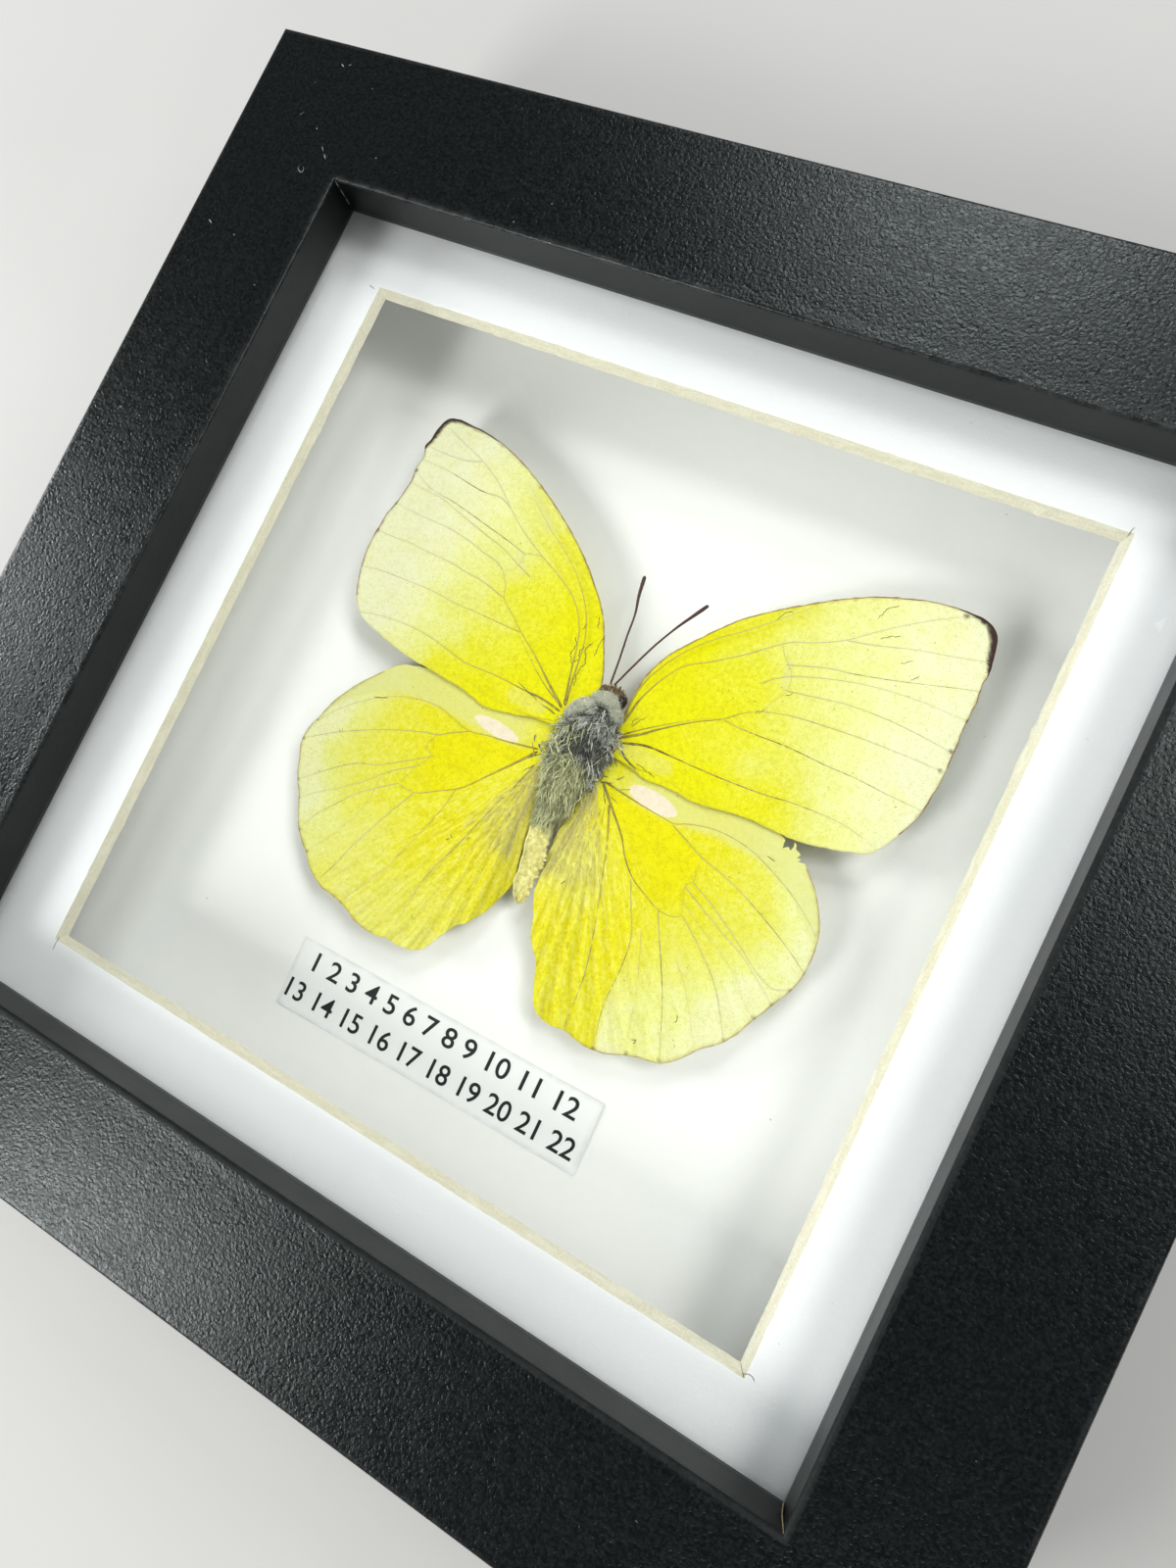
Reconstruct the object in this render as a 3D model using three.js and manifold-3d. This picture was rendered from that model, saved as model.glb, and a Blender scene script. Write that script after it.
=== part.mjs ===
// Framed butterfly specimen: a black square shadow-box frame lying on its back, glazed, with a bevel-cut
// window mat, spacer strips, a white card and one spread yellow butterfly fixed over the card.
// Millimetres, +Z out of the glass, +Y to the top edge of the picture, +X to its right edge.
// Origin: centre of the frame's footprint, on the plane that the backs of the rails rest on.
import * as THREE from 'three';
import { mergeVertices } from 'three/addons/utils/BufferGeometryUtils.js';
import Module from 'manifold-3d';

// ---- driving dimensions -------------------------------------------------------------------------
const OUT_X = 150.0;         // outer width
const OUT_Y = 148.9;         // outer height
const DEPTH = 30.0;          // rail depth, back to front face
const RAIL = 18.62;          // face width of a rail
const LIP = 6.66;            // depth of the lip, front face to the seat of the glass
const UNDERCUT = 0.66;       // the inner wall leans back this much over the lip's depth
const REBATE = 6.0;          // rebate's wall, measured out from the inner front edge
const SOFT = 0.45;           // softened front edges
const FOOT = 0.4;            // softened back edges
const GAP = 0.3;             // play between pieces that touch
const FIT = 0.3;             // play around the panels in the rebate

const GLASS_T = 1.5;
const MAT_T = 1.2;
const MAT_TOP = DEPTH - LIP - 2.0;                 // 21.34
const GLASS_Z = MAT_TOP + 0.25;                    // underside of the glass
const MAT_Z = MAT_TOP - MAT_T;                     // underside of the mat
const CARD_TOP = 8.3;
const CARD_T = 2.0;
const BOARD_Z = 3.0;                               // back board sits 3 mm inside the rails' backs
const BOARD_T = 3.0;
const SPACER_W = 2.8;

// window of the mat on its top face: top-left, top-right, bottom-right, bottom-left; cut by hand, so not quite square
const WINDOW = [[-49.39, 48.63], [49.09, 49.19], [49.41, -49.27], [-48.42, -48.97]];
const BEVEL = 0.82;                                // how far the bevel runs in by the underside

const LABEL = [[-22.37, -35.53], [23.95, -35.16], [24.28, -44.74], [-21.93, -45.31]];
const LABEL_T = 0.2;

const FOREWING_Z = 12.8, HINDWING_Z = 11.85, WING_T = 0.4;
const BODY_Z = 11.4;                               // axis of the body above the rails' backs
const BODY_HEAD = [2.45, 13.9], BODY_TAIL = [3.35, -18.2];

// ---- materials ----------------------------------------------------------------------------------
const mat = (color, roughness, metalness = 0, extra = {}) =>
  new THREE.MeshStandardMaterial({ color, roughness, metalness, ...extra });
const BLACK_FOIL = () => mat(0x16181a, 0.42);
const GLASS = () => mat(0xeef4f2, 0.03, 0, { transparent: true, opacity: 0.2 });
const MAT_BOARD = () => mat(0xeceeef, 0.9);
const CARD = () => mat(0xecece8, 0.88);
const PAPER = () => mat(0xf0f1f4, 0.8);
const HARDBOARD = () => mat(0x6e4d33, 0.8);
const STEEL = () => mat(0x8d9092, 0.38, 0.9);
const WING = () => mat(0xe9ea5c, 0.75);
const BODY = () => mat(0x6f7568, 0.9);
const ANTENNA = () => mat(0x57322b, 0.6);

const root = new THREE.Group();
const add = (name, geometry, material, place = () => {}) => {
  const mesh = new THREE.Mesh(geometry, material);
  mesh.name = name;
  place(mesh);
  root.add(mesh);
  return mesh;
};

// ---- rails --------------------------------------------------------------------------------------
// One L-shaped moulding, mitred at both ends. u runs out from the inner front edge, z runs up.
const moulding = new THREE.Shape([
  [0, DEPTH - SOFT], [UNDERCUT, DEPTH - LIP], [REBATE, DEPTH - LIP], [REBATE, 0],
  [RAIL - FOOT, 0], [RAIL, FOOT], [RAIL, DEPTH - SOFT * 1.3], [RAIL - SOFT * 0.4, DEPTH - SOFT * 0.4],
  [RAIL - SOFT * 1.3, DEPTH], [SOFT * 1.1, DEPTH], [SOFT * 0.3, DEPTH - SOFT * 0.35],
].map(([u, z]) => new THREE.Vector2(u, z)));

// The rail along the +Y side of an opening: half = half the frame across the rail's run, cross = half the other way.
function railGeometry(half, cross) {
  const g = new THREE.ExtrudeGeometry(moulding, { depth: 1, bevelEnabled: false });
  const p = g.attributes.position;
  const cut = GAP / 2 * Math.SQRT2;
  for (let i = 0; i < p.count; i++) {
    const u = p.getX(i), z = p.getY(i), s = p.getZ(i) > 0.5 ? 1 : -1;
    p.setXYZ(i, s * (half - (RAIL - u) - cut), cross - RAIL + u, z);
  }
  g.computeVertexNormals();
  return g;
}
add('rail_top', railGeometry(OUT_X / 2, OUT_Y / 2), BLACK_FOIL());
add('rail_bottom', railGeometry(OUT_X / 2, OUT_Y / 2), BLACK_FOIL(), (m) => { m.rotation.z = Math.PI; });
add('rail_left', railGeometry(OUT_Y / 2, OUT_X / 2), BLACK_FOIL(), (m) => { m.rotation.z = Math.PI / 2; });
add('rail_right', railGeometry(OUT_Y / 2, OUT_X / 2), BLACK_FOIL(), (m) => { m.rotation.z = -Math.PI / 2; });

// ---- panels in the rebate -----------------------------------------------------------------------
const PANEL_X = OUT_X - 2 * (RAIL - REBATE + FIT);   // size of every panel
const PANEL_Y = OUT_Y - 2 * (RAIL - REBATE + FIT);
const panel = (name, z0, t, material) =>
  add(name, new THREE.BoxGeometry(PANEL_X, PANEL_Y, t), material, (m) => { m.position.z = z0 + t / 2; });
panel('glass_pane', GLASS_Z, GLASS_T, GLASS());
panel('backing_card', CARD_TOP - CARD_T, CARD_T, CARD());
panel('back_board', BOARD_Z, BOARD_T, HARDBOARD());

// Window mat: one sheet with a bevelled window, widest at its top face.
{
  const outline = new THREE.Shape([
    [-PANEL_X / 2, -PANEL_Y / 2], [PANEL_X / 2, -PANEL_Y / 2], [PANEL_X / 2, PANEL_Y / 2], [-PANEL_X / 2, PANEL_Y / 2],
  ].map(([x, y]) => new THREE.Vector2(x, y)));
  outline.holes.push(new THREE.Path(WINDOW.map(([x, y]) => new THREE.Vector2(x, y))));
  const g = new THREE.ExtrudeGeometry(outline, { depth: MAT_T, bevelEnabled: false });
  const p = g.attributes.position;
  for (let i = 0; i < p.count; i++) {
    if (p.getZ(i) > MAT_T / 2) continue;
    const x = p.getX(i), y = p.getY(i);
    if (Math.abs(x) < 52 && Math.abs(y) < 52) p.setXY(i, x - Math.sign(x) * BEVEL, y - Math.sign(y) * BEVEL);
  }
  g.computeVertexNormals();
  add('window_mat', g, MAT_BOARD(), (m) => { m.position.z = MAT_Z; });
}

// Spacer strips stand on the card and hold the mat off it; the long pair runs the full width.
{
  const z0 = CARD_TOP + GAP, h = MAT_Z - GAP - z0;
  const yMid = PANEL_Y / 2 - SPACER_W / 2, xMid = PANEL_X / 2 - SPACER_W / 2;
  const strip = (name, lx, ly, x, y) =>
    add(name, new THREE.BoxGeometry(lx, ly, h), MAT_BOARD(), (m) => { m.position.set(x, y, z0 + h / 2); });
  strip('spacer_top', PANEL_X, SPACER_W, 0, yMid);
  strip('spacer_bottom', PANEL_X, SPACER_W, 0, -yMid);
  strip('spacer_left', SPACER_W, PANEL_Y - 2 * SPACER_W - 2 * GAP, -xMid, 0);
  strip('spacer_right', SPACER_W, PANEL_Y - 2 * SPACER_W - 2 * GAP, xMid, 0);
}

// Paper label, glued on the card below the specimen.
add('label', new THREE.ExtrudeGeometry(
  new THREE.Shape(LABEL.slice().reverse().map(([x, y]) => new THREE.Vector2(x, y))),
  { depth: LABEL_T, bevelEnabled: false }), PAPER(), (m) => { m.position.z = CARD_TOP + GAP; });

// ---- back hardware ------------------------------------------------------------------------------
// Flexible steel points, pressed into the rebate's wall and lying over the back board.
{
  const L = 11, W = 5, T = 0.4;
  const tab = new THREE.Shape();
  tab.moveTo(0, -W / 2);
  tab.lineTo(L - 2.2, -W / 2);
  tab.quadraticCurveTo(L, -W / 2, L, 0);
  tab.quadraticCurveTo(L, W / 2, L - 2.2, W / 2);
  tab.lineTo(0, W / 2);
  tab.closePath();
  const z = BOARD_Z - GAP - T;
  const wallX = OUT_X / 2 - RAIL + REBATE - GAP, wallY = OUT_Y / 2 - RAIL + REBATE - GAP;
  const S = 34;
  const spots = [
    ['top_left', -S, wallY, -Math.PI / 2], ['top_right', S, wallY, -Math.PI / 2],
    ['bottom_left', -S, -wallY, Math.PI / 2], ['bottom_right', S, -wallY, Math.PI / 2],
    ['left_upper', -wallX, S, 0], ['left_lower', -wallX, -S, 0],
    ['right_upper', wallX, S, Math.PI], ['right_lower', wallX, -S, Math.PI],
  ];
  for (const [name, x, y, a] of spots) {
    add('point_' + name, new THREE.ExtrudeGeometry(tab, { depth: T, bevelEnabled: false, curveSegments: 4 }), STEEL(),
      (m) => { m.position.set(x, y, z); m.rotation.z = a; });
  }
}
// Sawtooth hanger riveted to the back board near its top edge, thin enough to stay inside the recess.
{
  const L = 44, H = 7, T = 0.8, y0 = 44;
  const s = new THREE.Shape();
  s.moveTo(-L / 2, -H / 2);
  s.lineTo(-L / 2 + 9, -H / 2);
  const n = 11, w = (L - 18) / n;
  for (let i = 0; i < n; i++) {
    const x = -L / 2 + 9 + i * w;
    s.lineTo(x + w * 0.5, -H / 2 + 1.5);
    s.lineTo(x + w, -H / 2);
  }
  s.lineTo(L / 2, -H / 2);
  s.lineTo(L / 2, H / 2);
  s.lineTo(-L / 2, H / 2);
  s.closePath();
  const z = BOARD_Z - GAP - T;
  add('sawtooth_hanger', new THREE.ExtrudeGeometry(s, { depth: T, bevelEnabled: false }), STEEL(),
    (m) => { m.position.set(0, y0, z); });
  for (const [side, x] of [['left', -L / 2 + 4], ['right', L / 2 - 4]]) {
    const head = new THREE.LatheGeometry(
      [[0, -1.0], [0.9, -0.9], [1.6, -0.5], [1.8, 0], [0, 0]].map(([r, y]) => new THREE.Vector2(r, y)), 16);
    add('hanger_rivet_' + side, head, STEEL(), (m) => { m.rotation.x = Math.PI / 2; m.position.set(x, y0, z - GAP); });
  }
}

// ---- the butterfly ------------------------------------------------------------------------------
// Wing outlines in plan, from the tip or costa round to the base.
const LEFT_FOREWING = [
  [-35.4, 38.0], [-32.7, 38.2], [-27.3, 37.6], [-22.7, 36.0], [-17.5, 33.3], [-12.9, 30.3], [-8.9, 27.2], [-6.0, 24.4],
  [-3.5, 21.2], [-1.5, 18.2], [-0.1, 15.4], [0.6, 12.6], [0.5, 10.2], [1.2, 7.4], [0.2, 5.3], [-6.2, 4.4], [-11.1, 3.8],
  [-13.6, 4.0], [-17.0, 4.8], [-21.0, 4.8], [-24.4, 4.7], [-27.6, 5.0], [-30.3, 5.9], [-34.3, 7.6], [-35.8, 9.1],
  [-36.9, 11.1], [-37.8, 13.6], [-38.1, 16.4], [-37.9, 21.4], [-37.2, 24.6], [-36.9, 28.9], [-36.9, 31.3], [-36.6, 34.2]];
const RIGHT_FOREWING = [
  [5.2, 9.4], [5.1, 12.2], [5.5, 15.6], [6.6, 18.4], [8.5, 21.5], [11.4, 24.6], [15.1, 28.0], [19.0, 31.0], [22.2, 33.0],
  [26.5, 35.4], [31.1, 37.0], [34.3, 37.7], [37.0, 37.9], [39.4, 37.6], [41.0, 36.9], [42.0, 35.8], [42.4, 34.1],
  [42.7, 30.9], [43.1, 28.9], [42.8, 26.2], [42.7, 21.0], [42.8, 17.8], [42.6, 14.3], [42.1, 11.7], [40.8, 9.2],
  [39.7, 7.2], [38.1, 6.2], [35.7, 5.3], [32.5, 4.5], [29.9, 4.0], [26.1, 4.3], [19.6, 4.0], [16.1, 3.3], [11.0, 4.1],
  [5.6, 5.2], [4.4, 7.1]];
const LEFT_HINDWING = [
  [-24.3, 4.9], [-26.3, 3.2], [-29.0, 0.7], [-31.0, -2.3], [-32.5, -5.0], [-33.5, -7.8], [-34.4, -10.1], [-34.2, -11.7],
  [-33.2, -14.0], [-32.3, -16.3], [-30.9, -18.4], [-28.6, -22.9], [-25.7, -25.4], [-24.0, -26.9], [-21.9, -28.1],
  [-17.9, -28.8], [-15.7, -29.6], [-13.3, -30.0], [-10.0, -29.7], [-7.9, -29.8], [-6.1, -29.1], [-3.7, -25.9],
  [-1.2, -22.0], [0.0, -20.0], [0.9, -17.7], [1.1, -15.1], [1.0, -11.7], [0.8, -7.0], [1.1, -3.0], [1.2, 1.1],
  [1.0, 4.4], [-4.3, 6.4], [-10.2, 6.7], [-16.4, 6.9], [-21.3, 7.0]];
const RIGHT_HINDWING = [
  [32.5, 3.1], [34.5, 1.2], [36.2, -0.9], [37.6, -3.3], [38.1, -6.0], [38.6, -8.8], [38.0, -11.5], [36.7, -14.6],
  [34.6, -18.7], [33.5, -20.9], [30.9, -23.6], [27.8, -26.8], [25.7, -27.5], [21.6, -28.8], [20.0, -29.3], [17.8, -29.5],
  [15.7, -29.2], [12.6, -29.1], [11.3, -28.2], [8.9, -23.6], [7.5, -21.7], [6.5, -19.7], [6.0, -17.4], [5.5, -15.0],
  [5.1, -12.6], [4.8, -8.4], [4.6, -4.2], [4.2, -0.1], [4.2, 3.1], [5.2, 6.0], [11.3, 6.8], [19.5, 6.8], [27.1, 6.6],
  [30.4, 5.6]];

// Head, thorax and abdomen are one body of revolution, thickest at the thorax: distance from the head's front, radius.
const BODY_PROFILE = [
  [0, 0], [0.3, 0.85], [1.2, 1.5], [2.2, 1.45], [2.9, 1.3], [3.7, 2.0], [5.4, 2.6], [7.9, 2.75], [10.9, 2.5], [13.4, 1.9],
  [15.1, 1.45], [18.0, 1.55], [22.0, 1.5], [26.0, 1.3], [29.4, 0.95], [31.5, 0.5], [32.1, 0]];
const bodyGeometry = (grow) => {
  const last = BODY_PROFILE.length - 1;
  const pts = BODY_PROFILE.map(([s, r], i) =>
    new THREE.Vector2(i === 0 || i === last ? 0 : r + grow, s + (i === 0 ? -grow : i === last ? grow : 0)));
  const g = new THREE.LatheGeometry(pts, 20);
  const [x0, y0] = BODY_HEAD, [x1, y1] = BODY_TAIL;
  g.rotateZ(Math.PI + Math.atan2(x1 - x0, y0 - y1));
  g.translate(x0, y0, BODY_Z);
  return g;
};

const wasm = await Module();
wasm.setup();
const toSolid = (geometry) => {
  const g = geometry.clone();
  g.deleteAttribute('normal');
  g.deleteAttribute('uv');
  const m = mergeVertices(g, 1e-5);
  return new wasm.Manifold(new wasm.Mesh({
    numProp: 3, vertProperties: new Float32Array(m.attributes.position.array), triVerts: new Uint32Array(m.index.array),
  }));
};
const toGeometry = (solid) => {
  const m = solid.getMesh();
  const g = new THREE.BufferGeometry();
  g.setAttribute('position', new THREE.BufferAttribute(new Float32Array(m.vertProperties), 3));
  g.setIndex(new THREE.BufferAttribute(new Uint32Array(m.triVerts), 1));
  g.computeVertexNormals();
  return g;
};

add('butterfly_body', bodyGeometry(0), BODY());
const clearance = toSolid(bodyGeometry(GAP + 0.05));
const wing = (name, points, z) => {
  const plate = new THREE.ExtrudeGeometry(
    new THREE.Shape(points.map(([x, y]) => new THREE.Vector2(x, y))), { depth: WING_T, bevelEnabled: false });
  plate.translate(0, 0, z);
  const parts = toSolid(plate).subtract(clearance).decompose();
  parts.sort((a, b) => b.volume() - a.volume());
  add(name, toGeometry(parts[0]), WING());
};
wing('forewing_left', LEFT_FOREWING, FOREWING_Z);
wing('forewing_right', RIGHT_FOREWING, FOREWING_Z);
wing('hindwing_left', LEFT_HINDWING, HINDWING_Z);
wing('hindwing_right', RIGHT_HINDWING, HINDWING_Z);

// Antennae: a thin stalk ending in a slim club.
const antenna = (name, from, to) => {
  const a = new THREE.Vector3(...from), b = new THREE.Vector3(...to), L = a.distanceTo(b);
  const g = new THREE.LatheGeometry(
    [[0, 0], [0.18, 0.1], [0.15, L * 0.75], [0.36, L * 0.88], [0.36, L * 0.97], [0, L]].map(([r, y]) => new THREE.Vector2(r, y)), 8);
  add(name, g, ANTENNA(), (m) => {
    m.position.copy(a);
    m.quaternion.setFromUnitVectors(new THREE.Vector3(0, 1, 0), b.clone().sub(a).normalize());
  });
};
antenna('antenna_left', [1.75, 14.5, 13.1], [0.1, 27.2, 14.0]);
antenna('antenna_right', [3.55, 14.5, 13.1], [9.24, 26.72, 14.0]);

export default root;
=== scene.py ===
# Framed butterfly specimen: the looks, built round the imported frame. Metres in the file's objects, millimetres in the
# numbers below, +Z out of the glass, +Y to the head of the butterfly.
import bpy, math
import numpy as np
from mathutils import Matrix, Vector
from mathutils.geometry import delaunay_2d_cdt


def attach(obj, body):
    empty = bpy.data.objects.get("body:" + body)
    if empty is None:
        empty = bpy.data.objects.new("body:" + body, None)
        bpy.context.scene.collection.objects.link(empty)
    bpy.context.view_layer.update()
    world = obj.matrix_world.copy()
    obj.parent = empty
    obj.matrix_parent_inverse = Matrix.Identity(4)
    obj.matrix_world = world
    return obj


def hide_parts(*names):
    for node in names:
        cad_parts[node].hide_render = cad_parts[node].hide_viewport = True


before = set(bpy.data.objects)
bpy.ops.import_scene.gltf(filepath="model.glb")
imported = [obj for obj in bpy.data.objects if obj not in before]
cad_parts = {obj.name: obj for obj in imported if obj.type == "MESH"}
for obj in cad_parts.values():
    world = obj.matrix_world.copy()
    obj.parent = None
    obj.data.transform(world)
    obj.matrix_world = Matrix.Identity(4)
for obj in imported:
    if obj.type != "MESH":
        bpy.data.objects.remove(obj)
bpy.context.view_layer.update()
MM = 0.001
scene = bpy.context.scene
rng = np.random.default_rng(11)

# ---- camera -----------------------------------------------------------------------------------------------------------
CAM = np.array([30.493, -5.969, 127.582])
ROT = np.array([[0.87022, 0.43979, -0.22204], [0.41465, -0.89720, -0.15199], [-0.26606, 0.04020, -0.96312]])
cam_data = bpy.data.cameras.new("camera")
cam_data.sensor_fit = 'AUTO'
cam_data.sensor_width = 36.0
cam_data.lens = 36.0 * 942.925 / 1600.0
cam_data.shift_x = 0.030
cam_data.shift_y = -0.008
cam_data.clip_start = 0.005
cam_data.clip_end = 20.0
cam = bpy.data.objects.new("camera", cam_data)
scene.collection.objects.link(cam)
m = Matrix.Identity(4)
for i in range(3):
    m[i][0], m[i][1], m[i][2] = ROT[0][i], -ROT[1][i], -ROT[2][i]
    m[i][3] = CAM[i] * MM
cam.matrix_world = m
scene.camera = cam


def along_ray(x, y, z0, z):
    """Moves points drawn in the plane z0 along the sight line to height z, so that their place in the view stays."""
    s = (z - CAM[2]) / (z0 - CAM[2])
    return CAM[0] + (x - CAM[0]) * s, CAM[1] + (y - CAM[1]) * s


# ---- mesh helpers -----------------------------------------------------------------------------------------------------
def make(name, verts, faces, smooth=True, attrs=None, mats=(), mat_index=None, body="root", slot=None, replaces=()):
    me = bpy.data.meshes.new(name)
    me.from_pydata((np.asarray(verts, float) * MM).tolist(), [], [tuple(int(i) for i in f) for f in faces])
    me.update()
    if smooth is True:
        me.polygons.foreach_set("use_smooth", [True] * len(me.polygons))
    elif smooth is not False:
        me.polygons.foreach_set("use_smooth", [bool(s) for s in smooth])
    for k, v in (attrs or {}).items():
        a = me.attributes.new(k, 'FLOAT', 'POINT')
        a.data.foreach_set("value", np.asarray(v, np.float32))
    for mt in mats:
        me.materials.append(mt)
    if mat_index is not None:
        me.polygons.foreach_set("material_index", np.asarray(mat_index, np.int32))
    me.update()
    ob = bpy.data.objects.new(name, me)
    scene.collection.objects.link(ob)
    if body:
        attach(ob, body)
    if replaces:
        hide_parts(*replaces)
    return ob


def spline(pts, step):
    """Catmull-Rom through pts, resampled at about step."""
    p = np.asarray(pts, float)
    p = np.vstack([2 * p[0] - p[1], p, 2 * p[-1] - p[-2]])
    out = []
    for i in range(1, len(p) - 2):
        n = max(2, int(np.linalg.norm(p[i + 1] - p[i]) / step * 1.5) + 1)
        t = np.linspace(0, 1, n, endpoint=False)[:, None]
        out.append(0.5 * (2 * p[i] + (p[i + 1] - p[i - 1]) * t + (2 * p[i - 1] - 5 * p[i] + 4 * p[i + 1] - p[i + 2]) * t ** 2
                          + (-p[i - 1] + 3 * p[i] - 3 * p[i + 1] + p[i + 2]) * t ** 3))
    out.append(p[-2][None])
    return resample(np.vstack(out), step)


def resample(p, step):
    d = np.r_[0, np.cumsum(np.linalg.norm(np.diff(p, axis=0), axis=1))]
    n = max(3, int(round(d[-1] / step)) + 1)
    s = np.linspace(0, d[-1], n)
    return np.stack([np.interp(s, d, p[:, k]) for k in range(p.shape[1])], 1)


def closed_spline(pts, step):
    p = [tuple(q) for q in pts]
    q = spline(p[-2:] + p + p[:2], step * 0.4)
    # cut out the one turn between the first point and its repeat
    a = np.argmin(np.linalg.norm(q - np.array(p[0]), axis=1)[: len(q) // 2])
    b = len(q) // 2 + np.argmin(np.linalg.norm(q[len(q) // 2:] - np.array(p[0]), axis=1))
    return resample(q[a:b + 1], step)[:-1]


def polyline_distance(pts, lines):
    """Distance of each point to the nearest of the polylines, and which point along it (0 start, 1 end)."""
    best = np.full(len(pts), 1e9)
    along = np.zeros(len(pts))
    for line in lines:
        n = len(line) - 1
        for i in range(n):
            a, b = line[i], line[i + 1]
            ab = b - a
            t = np.clip(((pts - a) @ ab) / max(ab @ ab, 1e-12), 0, 1)
            d = np.hypot(*(pts - a - t[:, None] * ab).T)
            k = d < best
            best[k] = d[k]
            along[k] = (i + t[k]) / n
    return best, along


def inside(pts, poly):
    x, y = pts[:, 0], pts[:, 1]
    c = np.zeros(len(pts), bool)
    j = len(poly) - 1
    for i in range(len(poly)):
        xi, yi = poly[i]
        xj, yj = poly[j]
        if yi != yj:
            c ^= ((yi > y) != (yj > y)) & (x < (xj - xi) * (y - yi) / (yj - yi) + xi)
        j = i
    return c


def smoothstep(a, b, x):
    t = np.clip((x - a) / (b - a), 0, 1)
    return t * t * (3 - 2 * t)


def tube(path, radius, sides=6, up=(0, 0, 1), flat=1.0):
    """Verts and faces of a closed tube along path with a radius per point."""
    path = np.asarray(path, float)
    radius = np.broadcast_to(np.asarray(radius, float), (len(path),))
    t = np.gradient(path, axis=0)
    t /= np.linalg.norm(t, axis=1)[:, None] + 1e-12
    s = np.cross(t, np.asarray(up, float))
    s /= np.linalg.norm(s, axis=1)[:, None] + 1e-9
    n = np.cross(s, t)
    ang = np.arange(sides) * 2 * np.pi / sides
    v = (path[:, None] + radius[:, None, None] * (np.cos(ang)[None, :, None] * s[:, None] + flat * np.sin(ang)[None, :, None] * n[:, None])).reshape(-1, 3)
    f = []
    for i in range(len(path) - 1):
        for j in range(sides):
            k = (j + 1) % sides
            f.append((i * sides + j, i * sides + k, (i + 1) * sides + k, (i + 1) * sides + j))
    f.append(tuple(range(sides))[::-1])
    f.append(tuple((len(path) - 1) * sides + j for j in range(sides)))
    return v, f


class Join:
    """Collects several closed shapes in one mesh."""
    def __init__(self):
        self.v, self.f, self.n, self.attr, self.mi = [], [], 0, {}, []

    def add(self, v, f, mat=0, **attrs):
        self.v.append(np.asarray(v, float))
        self.f += [tuple(i + self.n for i in g) for g in f]
        self.mi += [mat] * len(f)
        for k, a in attrs.items():
            self.attr.setdefault(k, []).append(np.broadcast_to(np.asarray(a, float), (len(v),)))
        self.n += len(v)

    def make(self, name, **kw):
        return make(name, np.vstack(self.v), self.f, attrs={k: np.concatenate(a) for k, a in self.attr.items()}, mat_index=self.mi, **kw)


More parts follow.
